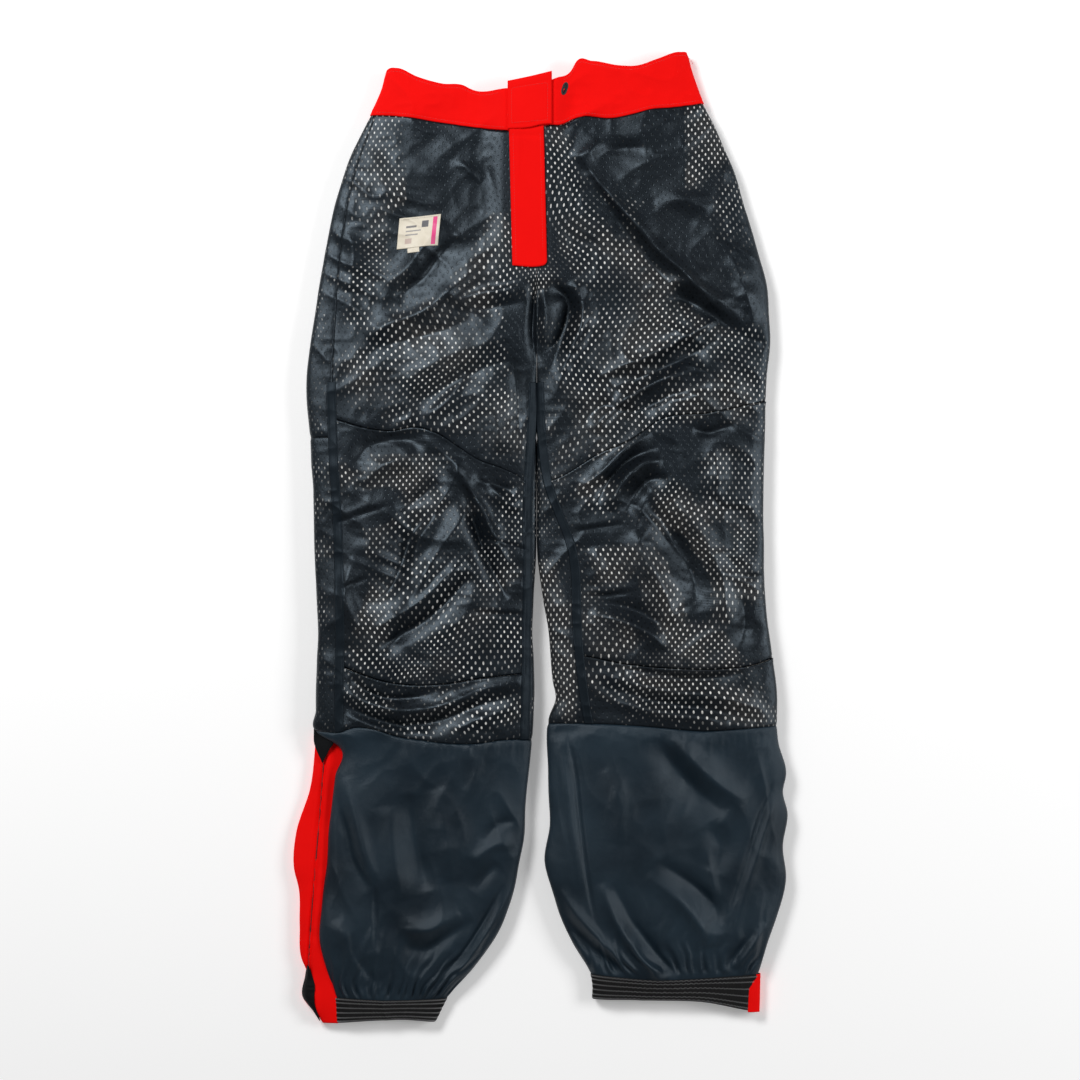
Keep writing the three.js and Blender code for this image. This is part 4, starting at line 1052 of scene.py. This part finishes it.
for side, half in HALVES.items():
    inseam = lambda y, h=half: h.angle(h.inseam(np.minimum(y, CROTCH)), np.minimum(y, CROTCH))
    if half.outseam:
        outseam = lambda y, h=half: h.angle(h.outseam(y), y)
    else:
        outseam = constant(-90.0)
    front_inner, back_inner = inner_edge(inseam, FRONT_INNER), inner_edge(inseam, BACK_INNER)
    back_outer = lambda y, f=outseam: f(y) + 360
    knee_top, knee_bottom, calf_end = KNEE_TOP[side], KNEE_BOTTOM[side], GAITER_TOP[side]
    split = constant(THIGH_SPLIT)
    hip, knee, shank = f"hip fold {side}", f"knee fold {side}", f"shank_{side}"
    rows = [
        ("front_lining", hip, outseam, front_inner, BAND_BOTTOM, knee_top, (0.6, 1.0, 0.6, 0.4),
         ("hip_lining_front", "thigh_lining_front")),
        ("knee_panel", knee, outseam, front_inner, knee_top, knee_bottom, (-0.7, 1.2, 0.6, 0.6),
         ("knee_panel_upper", "knee_panel_lower")),
        ("calf_lining_face", shank, outseam, front_inner, knee_bottom, calf_end, (-0.7, 0.8, 0.6, 0.6),
         ("calf_lining_front",)),
        ("seat_lining", hip, back_inner, back_outer, BAND_BOTTOM, split, (0.6, 0.8, 0.4, 0.6),
         ("hip_lining_back",)),
        ("leg_back_lining", knee, back_inner, back_outer, split, calf_end, (0.8, 0.8, 0.6, 0.6),
         ("thigh_lining_back", "calf_lining_back")),
    ]
    for name, where, start, end, top, bottom, dips, nodes in rows:
        piece = panel(f"{name}_{side}", half, start, end, top, bottom, MESH,
                      eyelet_light_shade_and_pockets=front_eyelet_light_shade_and_pockets, dips=dips,
                      trim=beside_zip(half) if name == "front_lining" else None)
        settle(piece, where, [f"{node}_{side}" for node in nodes])

    # The shell: its white coated back faces the lining, and its red side faces into the garment.
    shell_rows = [
        ("shell_front", hip, FRONT_OUTER, FRONT_INNER, BAND_BOTTOM, split, ("hip_shell_front",)),
        ("shell_back", hip, BACK_INNER, BACK_OUTER, BAND_BOTTOM, split, ("hip_shell_back",)),
        ("shell_leg", knee, -180.0, 180.0, split, constant(CUFF_TOP[side] - 2),
         ("thigh_shell", "shank_shell", "ankle_shell")),
    ]
    for name, where, start, end, top, bottom, nodes in shell_rows:
        piece = panel(f"{name}_{side}", half, constant(start), constant(end), top, bottom, WHITE_COAT,
                      depth=3.4, step=3.4, dips=(0, 0, 0, 0), wrap=name == "shell_leg", lining=RED)
        settle(piece, where, [f"{node}_{side}" for node in nodes])

    gaiter = panel(f"gaiter_cloth_{side}", half, constant(-180.0), constant(180.0), calf_end,
                   lambda x, e=CUFF_HIGH[side]: e(x) - 1.5, NYLON, step=2.25, dips=(1.0, 0.8, 0, 0),
                   wrap=True)
    settle(gaiter, shank, [f"gaiter_{side}"])

    # Seam tapes over the lining.
    tapes = [("inseam", half.inseam)] + ([("outseam", half.outseam)] if half.outseam else [])
    for name, line in tapes:
        low = lambda y, s=line, h=half: h.angle(s(y) - h.inward * 5.0, y)
        high = lambda y, s=line, h=half: h.angle(s(y) + h.inward * 5.0, y)
        ridges = lambda x, y, angle, s=line: 0.5 * bell(np.abs(x - s(y)) - 3.6, 0.9)
        piece = panel(f"{name}_tape_{side}", half, low, high, constant(TAPE_TOP), calf_end, BLACK_TAPE,
                      depth=-0.55, step=1.0, thickness=0.6, dips=(0.4, 0.4, 0.3, 0.3), extra=ridges)
        settle(piece, knee, [f"{name}_tape_thigh_{side}", f"{name}_tape_calf_{side}"])

# Pocket bags hang between the lining and the shell.
for side, (low_x, high_x, bottom) in POCKETS.items():
    half = HALVES[side]
    edges = [half.level(low_x), half.level(high_x)]
    if half.inward < 0:
        edges.reverse()
    piece = panel(f"pocket_cloth_{side}", half, *edges, BAND_BOTTOM, bottom, DARK_CLOTH_AND_HOLE_SHADE, depth=1.7,
                  step=2.5, thickness=0.6, dips=(0, 0, 0, 0))
    settle(piece, "hips", [f"pocket_bag_{side}"])

# ---- cuffs ----
CUFF_ROWS = 5


def cuff_puff(low, high):
    """The elastic swells between its stitched rows and is ribbed along its length."""
    def swell(x, y, angle):
        level = (y - low(x)) / (high(x) - low(x))
        rows = np.abs(np.sin(np.pi * level * CUFF_ROWS)) ** 0.6
        ribs = np.sin(np.radians(angle) * 150 + 2 * noise(x, y, 9, 4)) * 0.16
        return 0.3 + rows * 0.75 + ribs
    return swell


def cuff_route(half, low, high, share, front):
    """A line round one side of the cuff, at a share of its height."""
    angle = np.linspace(-86, 86, 96) + (0 if front else 180)
    y = np.full_like(angle, float(mix(low(half.middle(-480)), high(half.middle(-480)), share)))
    for _ in range(3):
        x = half.at(angle, y)
        y = mix(low(x), high(x), share)
    return angle, x, y


for side, half in HALVES.items():
    low, high = CUFF_LOW[side], CUFF_HIGH[side]
    swell = cuff_puff(low, high)
    piece = panel(f"cuff_elastic_{side}", half, constant(-180.0), constant(180.0), high, low, ELASTIC,
                  depth=0.2, step=1.05, thickness=2.2, dips=(0.5, 0.5, 0, 0), wrap=True, extra=swell)
    settle(piece, f"shank_{side}", [f"cuff_{side}"])
    segments = []
    for row in range(CUFF_ROWS + 1):
        share = float(np.clip(row / CUFF_ROWS, 0.06, 0.94))
        for front in (True, False):
            angle, x, y = cuff_route(half, low, high, share, front)
            zig = np.where(np.arange(len(angle)) % 2, 1.0, -1.0) * 0.85
            x, y, z = tube(half, angle, y + zig, depth=-0.5)
            line = np.stack([x, y, z + (0.12 if front else -0.12)], 1)
            segments += list(zip(line[:-1], line[1:]))
    zigzag = threads(f"cuff_stitching_{side}", segments, GREY_THREAD, radius=0.26, sides=4)
    settle(zigzag, f"shank_{side}")

# ---- waistband ----
BAND_DEPTH = -0.9


def band_wave(x, y, angle):
    """Slack of the doubled band, a roll along its top edge and the pinch of its topstitching."""
    level = (y - BAND_BOTTOM(x)) / (BAND_TOP(x) - BAND_BOTTOM(x))
    soft = noise(x, y * 0.5, 30, 31) * 0.7 + noise(x, y, 9, 17) * 0.14
    pinch = -0.35 * bell(y - BAND_BOTTOM(x) - 3, 1.3) - 0.25 * bell(BAND_TOP(x) - y - 4, 1.3)
    pinch = pinch - 0.8 * bell(x + 76, 1.4) * smooth(level, 0.5, 0.95)
    return (soft + pinch) * (1 - fly_hold(x, y)) + fly_hold(x, y) * 0.6


for half, end in ((LEFT, LEFT.level(-5)), (RIGHT, constant(88.0))):
    piece = panel(f"waistband_cloth_front_{half.name}", half, constant(FRONT_OUTER), end, BAND_TOP,
                  BAND_BOTTOM, RED, depth=BAND_DEPTH, step=1.6, thickness=2.0, dips=(0.8, 0.5, 0, 0.4),
                  extra=band_wave)
    settle(piece, "hips", [f"waistband_front_{half.name}"])

parts = []
share, v = unit_grid(149, 23)
for half, along in ((LEFT, share), (RIGHT, 1 - share)):
    angle = mix(BACK_OUTER, BACK_INNER, along)
    y = np.full_like(angle, 460.0)
    for _ in range(3):
        x = half.at(angle, y)
        y = mix(BAND_TOP(x) - 1.5, BAND_BOTTOM(x), v)
    parts.append(np.stack(tube(half, angle, y, BAND_DEPTH - 0.4 * noise(x, y, 30, 3)), -1))
piece = cloth("waistband_cloth_back", np.concatenate(parts, 0), RED, 2.0, flip=True)
settle(piece, "hips", ["waistband_back"])


def band_top_z(x, y):
    return on_top(x, y, -BAND_DEPTH) + band_wave(x, y, None)


def level_line(x0, x1, height):
    x = np.linspace(x0, x1, 90)
    return np.stack([x, height(x)], 1)


rows = []
for x0, x1 in ((-172, -37), (15, 168)):
    rows += running(level_line(x0, x1, lambda x: BAND_BOTTOM(x) + 3), band_top_z, 2.9)
    rows += running(level_line(x0 + 10, x1 - 6, lambda x: BAND_TOP(x) - 4), band_top_z, 2.9)
settle(threads("waistband_topstitch", rows, RED_THREAD, 0.24), "hips")

# Buttonhole: a raised ring of close stitches, and inside it a dark sheet laid on the band, painted shade that
# stands for the hole's shadowed opening.
HOLE_X, HOLE_Y, HOLE_LONG, HOLE_WIDE, HOLE_LEAN = 26, 473, 12.5, 4.4, math.radians(-17)
turn = np.linspace(0, TAU, 96, endpoint=False)


def hole_ring(grow):
    px = np.cos(turn) * (HOLE_WIDE / 2 + grow)
    py = np.sign(np.sin(turn)) * np.abs(np.sin(turn)) ** 0.8 * (HOLE_LONG / 2 + grow)
    x = HOLE_X + px * math.cos(HOLE_LEAN) - py * math.sin(HOLE_LEAN)
    y = HOLE_Y + px * math.sin(HOLE_LEAN) + py * math.cos(HOLE_LEAN)
    return x, y


ends = []
for grow in (-0.7, 1.0):
    x, y = hole_ring(grow)
    ends.append(np.stack([x, y, band_top_z(x, y) + 0.1], 1))
ring = list(zip(*ends))
settle(threads("buttonhole_stitching", ring, BLACK_THREAD, 0.34), "hips")
# Painted shade: a dark sheet laid on the band inside the stitched ring, for the hole's shadowed opening.
x, y = hole_ring(-0.4)
hole_shade_points = np.stack([x, y, band_top_z(x, y) + 0.12], 1)
hole_shade_piece = new_mesh("buttonhole_painted_shade", hole_shade_points, [tuple(range(len(x)))], hole_shade_points[:, :2] * MM)
hole_shade_piece.data.materials.append(DARK_CLOTH_AND_HOLE_SHADE)
thicken(hole_shade_piece, 0.4)
settle(hole_shade_piece, "hips")

# ---- tab, press stud, shield ----
TAB_LEFT, TAB_RIGHT = -34.0, 12.5
TAB_TOP = curve((-36, 480), (-20, 483), (-2, 487), (12, 490.5))
TAB_BOTTOM = curve((-36, 430), (-12, 431), (4, 434.5), (13, 435))


def inset(x, y, left, right, low, high):
    """How far each place lies inside the edges of a patch."""
    return np.minimum(np.minimum(x - left, right - x), np.minimum(y - low, high - y))


def tab_height(x, y):
    """The tab's upper surface: domed, rolled at its edges and pinched along its stitching."""
    low, high = TAB_BOTTOM(x), TAB_TOP(x)
    rise = smooth(x, TAB_LEFT, TAB_LEFT + 14)
    dome = np.sin(np.pi * np.clip((y - low) / (high - low), 0, 1))
    dome = 0.5 * dome * np.sin(np.pi * np.clip((x - TAB_LEFT) / (TAB_RIGHT - TAB_LEFT), 0, 1))
    pinch = -0.4 * bell(inset(x, y, TAB_LEFT + 4, TAB_RIGHT - 4, low + 4, high - 9), 1.1)
    roll = -0.7 * bell(inset(x, y, TAB_LEFT, TAB_RIGHT, low, high), 1.5)
    return 31.6 + 1.2 * rise + dome + pinch + roll + noise(x, y, 14, 22) * 0.22


def flat_sheet(name, left, right, low, high, height, material, thickness, step=1.2, corner=None):
    """A sheet between two edges given by level and two given by x, at the height of a function."""
    columns = int((right(0) - left(0)) / step)
    middle = (left(0) + right(0)) / 2
    u, v = unit_grid(columns, int((high(middle) - low(middle)) / step))
    v = 1 - v
    x = mix(left(0), right(0), u)
    y = mix(low(x), high(x), v)
    x = mix(left(y), right(y), u)
    if corner is not None:
        x, y = corner(x, y)
    return cloth(name, np.stack([x, y, height(x, y)], -1), material, thickness)


tab = flat_sheet("waist_tab_cloth", constant(TAB_LEFT), constant(TAB_RIGHT), TAB_BOTTOM, TAB_TOP,
                 tab_height, RED, 1.9)
settle(tab, "tab", ["waist_tab"])
corners = [(-30, 436), (8, 439), (8, 478), (-30, 472.5), (-30, 436)]
box_rows = running(corners, lambda x, y: tab_height(x, y) + 0.05, 2.9)
settle(threads("tab_stitching", box_rows, RED_THREAD, 0.24), "tab")

SHIELD_LEFT = curve((285, -29), (430, -32.5))
SHIELD_RIGHT = curve((285, 7.5), (430, 4))
SHIELD_TOP = curve((-36, 431), (-12, 431), (8, 434))
SHIELD_LOW = curve((-32, 287), (0, 286), (8, 288))


def shield_height(x, y):
    """The shield's upper surface. It dips where it goes in under the tab."""
    edge = np.minimum(np.minimum(x - SHIELD_LEFT(y), SHIELD_RIGHT(y) - x), y - SHIELD_LOW(x))
    seam = -0.8 * bell(edge, 1.5) - 0.3 * bell(edge - 4, 0.9)
    fold = 0.5 * bell(x + 22 + (430 - y) * 0.02, 2.2) * smooth(y, 350, 420)
    return 30.6 + seam + fold - 0.5 * bell(y - 423, 3) + noise(x, y * 0.5, 16, 27) * 0.4


def shield_corner(x, y):
    """Rounds the lower right corner."""
    radius = 4.0
    dx = x - (SHIELD_RIGHT(y) - radius)
    dy = (SHIELD_LOW(x) + radius) - y
    inside = (dx > 0) & (dy > 0)
    scale = np.maximum(dx, dy) / np.maximum(np.hypot(dx, dy), 1e-6)
    return np.where(inside, x - dx + dx * scale, x), np.where(inside, y + dy - dy * scale, y)


shield = flat_sheet("fly_shield_cloth", SHIELD_LEFT, SHIELD_RIGHT, SHIELD_LOW, SHIELD_TOP, shield_height,
                    RED, 1.5, corner=shield_corner)
settle(shield, "hips", ["fly_shield"])
y = np.linspace(292, 426, 60)
shield_rows = running(np.stack([SHIELD_LEFT(y) + 4, y], 1), shield_height, 2.9)
shield_rows += running(np.stack([SHIELD_RIGHT(y) - 4, y], 1)[6:], shield_height, 2.9)
settle(threads("shield_stitching", shield_rows, RED_THREAD, 0.22), "hips")

# Press stud: a spun profile for each half, the socket on the band and the stud under the tab.
STUD_X, STUD_Y = 4.0, 461.5


def spun(name, profile, centre, material, count=40):
    """A round piece turned from (radius, height) pairs."""
    points, faces = [], []
    for radius, z in profile:
        for k in range(count):
            a = TAU * k / count
            points.append((centre[0] + radius * math.cos(a), centre[1] + radius * math.sin(a), centre[2] + z))
    for i in range(len(profile) - 1):
        for k in range(count):
            p, q = i * count + k, i * count + (k + 1) % count
            faces.append((p, q, q + count, p + count))
    faces.append(tuple(reversed(range(count))))
    faces.append(tuple((len(profile) - 1) * count + k for k in range(count)))
    piece = new_mesh(name, points, faces)
    piece.data.materials.append(material)
    return piece


socket = [(6.0, 0), (6.2, 0.25), (5.8, 0.6), (5.0, 0.7), (4.2, 0.45), (3.4, 0.5), (2.6, 0.9), (2.0, 0.95),
          (1.7, 0.3)]
stud = [(1.2, -1.0), (1.5, -0.9), (1.6, -0.5), (3.0, -0.45), (4.6, -0.5), (5.6, -0.55), (6.1, -0.25),
        (6.0, 0)]
socket_z = float(band_top_z(STUD_X, STUD_Y)) - 0.1
settle(spun("stud_socket_ring", socket, (STUD_X, STUD_Y, socket_z), METAL), "hips", ["snap_socket"])
stud_z = float(tab_height(np.array(STUD_X), np.array(STUD_Y))) - 1.85
settle(spun("stud_cap", stud, (STUD_X, STUD_Y, stud_z), METAL), "tab", ["snap_stud"])

# ---- labels ----
LABEL_CORNERS = np.array([(-147.5, 336.5), (-104.0, 341.5), (-107.0, 308.0), (-150.5, 304.0)])


def quad_sheet(name, corners, lift, material, thickness, step, curl):
    """A label between four corners. It lies on the cloth, and curls up towards its free edges."""
    a, b, c, d = corners
    wide, long = np.linalg.norm(b - a), np.linalg.norm(d - a)
    u, v = unit_grid(int(wide / step), int(long / step))
    flat = mix(mix(a, b, u[..., None]), mix(d, c, u[..., None]), v[..., None])
    x, y = flat[..., 0], flat[..., 1]
    z = sum(on_top(x + dx, y + dy) for dx in (-5, 0, 5) for dy in (-5, 0, 5)) / 9
    z = np.maximum(z, on_top(x, y) + 0.15) + lift + 0.15 * noise(x, y, 8, 2)
    z = z + curl * (u ** 2 + v ** 3) / 2
    uv = np.stack([(u * wide).ravel(), (v * long).ravel()], 1) * MM
    return cloth(name, np.stack([x, y, z], -1), material, thickness, uv=uv)


label = quad_sheet("care_label_cloth", LABEL_CORNERS, 0.7, LABEL, 0.5, 1.0, 0.5)
settle(label, "hips", ["care_label"])
TAB_CORNERS = np.array([(-139.5, 307.5), (-127.0, 308.6), (-126.4, 301.0), (-139.0, 300.0)])
size_tab = quad_sheet("size_tab_cloth", TAB_CORNERS, 0.35, LABEL_PLAIN, 0.4, 0.8, 0.3)
settle(size_tab, "hips", ["size_tab"])
a, b, c, d = LABEL_CORNERS
edge = mix(a, b, 0.02), mix(a, b, 0.98)
label_rows = running([edge[0] + (0.3, -1.6), edge[1] + (-0.3, -1.6)], lambda x, y: on_top(x, y, 1.6), 2.4)
settle(threads("label_stitching", label_rows, CREAM_THREAD, 0.2), "hips")

# ---- red gusset, its black peak and the hem strips ----
GUSSET_OUTER = curve((-512, -229), (-499, -238), (-490, -247), (-458, -246), (-443, -252), (-408, -254),
                     (-369, -255), (-348, -260), (-311, -258), (-263, -243), (-212, -237), (-204, -236))
GUSSET_INNER = curve((-512, -213), (-484, -213), (-419, -228), (-365, -221), (-294, -216), (-262, -212),
                     (-240, -206), (-204, -203))
GUSSET_CREASE = curve((-512, -240), (-447, -244), (-408, -242), (-332, -236), (-242, -229), (-204, -226))


def gusset_grid(y_top, y_bottom, outer, inner, crease, step=1.5, high=15.0):
    """A folded strip: up over the front, round its outer fold, and back underneath."""
    u, v = unit_grid(40, int((y_top - y_bottom) / step))
    y = mix(y_top, y_bottom, v)
    turn = np.pi * u
    middle, half_width = inner(y), inner(y) - outer(y)
    x = middle - half_width * np.sin(turn)
    thick = high / 2 * (0.82 + 0.18 * noise(y, y * 0, 60, 3))
    round_ = np.sign(np.cos(turn)) * np.abs(np.cos(turn)) ** 0.55
    z = 0.6 + thick + thick * round_
    front = np.clip(np.cos(turn), 0, 1) ** 0.4
    if crease is not None:
        gap = x - crease(y)
        z = z + front * (-5.0 * bell(gap, 2.0) + 1.6 * bell(gap - 5, 3.5))
    z = z + front * (noise(x, y, 24, 33) * 0.9 + noise(x, y, 9, 11) * 0.2)
    return np.stack([x, y, np.maximum(z, 0.5)], -1)


grid = gusset_grid(-204, -511, GUSSET_OUTER, GUSSET_INNER, GUSSET_CREASE)
column = np.abs(grid[:, :, 0] - GUSSET_CREASE(grid[:, :, 1]))[:21].argmin(0)
grid_levels = grid[0, :, 1]
grid_heights = grid[column, np.arange(grid.shape[1]), 2]
gusset = cloth("ankle_gusset_cloth_left", grid, RED, 0.8, flip=True, lining=WHITE_COAT)
settle(gusset, "shank_left", ["ankle_gusset_left"])

STRIP_OUTER = curve((-500, 232), (-480, 232.5), (-458, 233))
STRIP_INNER = curve((-500, 219), (-480, 220), (-458, 221))
grid = gusset_grid(-459, -499, STRIP_OUTER, STRIP_INNER, None, step=1.0, high=17.0)
strip = cloth("hem_strip_right", grid, RED, 0.8, lining=WHITE_COAT)
settle(strip, "shank_right", ["ankle_gusset_right"])

# The black peak that closes the top of the gusset.
peak_left = curve((-236, -230), (-213, -238.5), (-203, -238.5))
peak_right = curve((-236, -229), (-224, -223), (-213, -216), (-203, -210))
u, v = unit_grid(18, 26)
y = mix(-197.0, -236.0, v)
x = mix(peak_left(y), peak_right(y), u)
z = 15.6 + 6.2 * smooth(u, 0.1, 0.9) * (1 - v) - 2.4 * v + 0.4 * noise(x, y, 9, 3)
settle(cloth("gusset_peak", np.stack([x, y, z], -1), MESH_PLAIN, 0.8), "shank_left")

# The crease's dark line, partly its dark stitched edge and partly painted shade in the crease, and the dark
# lining that shows under the gusset's lower end.
FLAP_LEFT = curve((-509, -233), (-498, -241), (-485, -250.5), (-462, -248.5), (-448, -246))
FLAP_RIGHT = curve((-509, -231.5), (-488, -238), (-470, -237.5), (-458, -241), (-448, -244.5))
y = np.linspace(-236, -452, 130)
x = GUSSET_CREASE(y)
line = np.stack([x, y, np.interp(-y, -grid_levels, grid_heights) + 0.1], 1)
ends = line[1:] + (line[1:] - line[:-1]) * 0.15
crease_shade_and_stitching = threads("gusset_crease_shade_and_stitching", zip(line[:-1], ends), BLACK_THREAD, 0.55)
settle(crease_shade_and_stitching, "shank_left")
u, v = unit_grid(14, 49)
y = mix(-450.0, -508.0, v)
x = mix(FLAP_LEFT(y), FLAP_RIGHT(y), u)
z = np.interp(-y, -grid_levels, grid_heights) + 6.8 - 8.5 * (1 - u) ** 4 + 0.5 * noise(x, y, 7, 3)
flap = cloth("gusset_lower_lining", np.stack([x, y, z], -1), MESH_PLAIN, 0.7)
settle(flap, "shank_left")

# ---- materials of the CAD nodes that stay ----
for ends, material in (
    (("tape_left", "tape_right"), ZIP_CLOTH),
    (("teeth_left", "teeth_right"), ZIP_PLASTIC),
    (("stop", "slider", "pull"), METAL),
):
    for end in ends:
        materials = bpy.data.objects[f"fly_zip_{end}"].data.materials
        materials.clear()
        materials.append(material)

# ---- floor, light, camera ----
FLOOR_REACH = 80.0  # metres
floor_mesh = bpy.data.meshes.new("floor")
floor_corners = [(x * FLOOR_REACH, y * FLOOR_REACH, 0) for x, y in ((-1, -1), (1, -1), (1, 1), (-1, 1))]
floor_mesh.from_pydata(floor_corners, [], [(0, 1, 2, 3)])
floor = bpy.data.objects.new("floor", floor_mesh)
bpy.context.scene.collection.objects.link(floor)
floor_look = Nodes("pale_floor")
floor_look.set(Base_Color=(0.96, 0.96, 0.96, 1), Roughness=0.95, Specular_IOR_Level=0.1)
floor_look.set(Emission_Color=(1, 1, 1, 1), Emission_Strength=0.22)
floor_mesh.materials.append(floor_look.material)
floor.location.z = -0.0005

world = bpy.data.worlds.new("studio")
bpy.context.scene.world = world
world.use_nodes = True
world.node_tree.nodes["Background"].inputs[0].default_value = (1, 1, 1, 1)
world.node_tree.nodes["Background"].inputs[1].default_value = 0.16


def softbox(name, place, size, power):
    light = bpy.data.lights.new(name, "AREA")
    light.shape = "RECTANGLE"
    light.size, light.size_y = size
    light.energy = power
    holder = bpy.data.objects.new(name, light)
    holder.location = place
    holder.rotation_euler = Vector([-value for value in place]).to_track_quat("-Z", "Y").to_euler()
    bpy.context.scene.collection.objects.link(holder)


softbox("key", (-1.2, 1.3, 1.9), (0.9, 0.7), 44)
softbox("fill", (1.9, 0.2, 1.4), (1.0, 0.8), 22)

VIEW_WIDTH = 1.1448  # metres that the picture is wide at the floor
LENS, SENSOR = 85, 36
camera_data = bpy.data.cameras.new("camera")
camera_data.lens = LENS
camera_data.sensor_width = SENSOR
camera = bpy.data.objects.new("camera", camera_data)
camera.location = (0, -0.001, VIEW_WIDTH * LENS / SENSOR)
bpy.context.scene.collection.objects.link(camera)
bpy.context.scene.camera = camera
bpy.context.scene.view_settings.view_transform = "Standard"
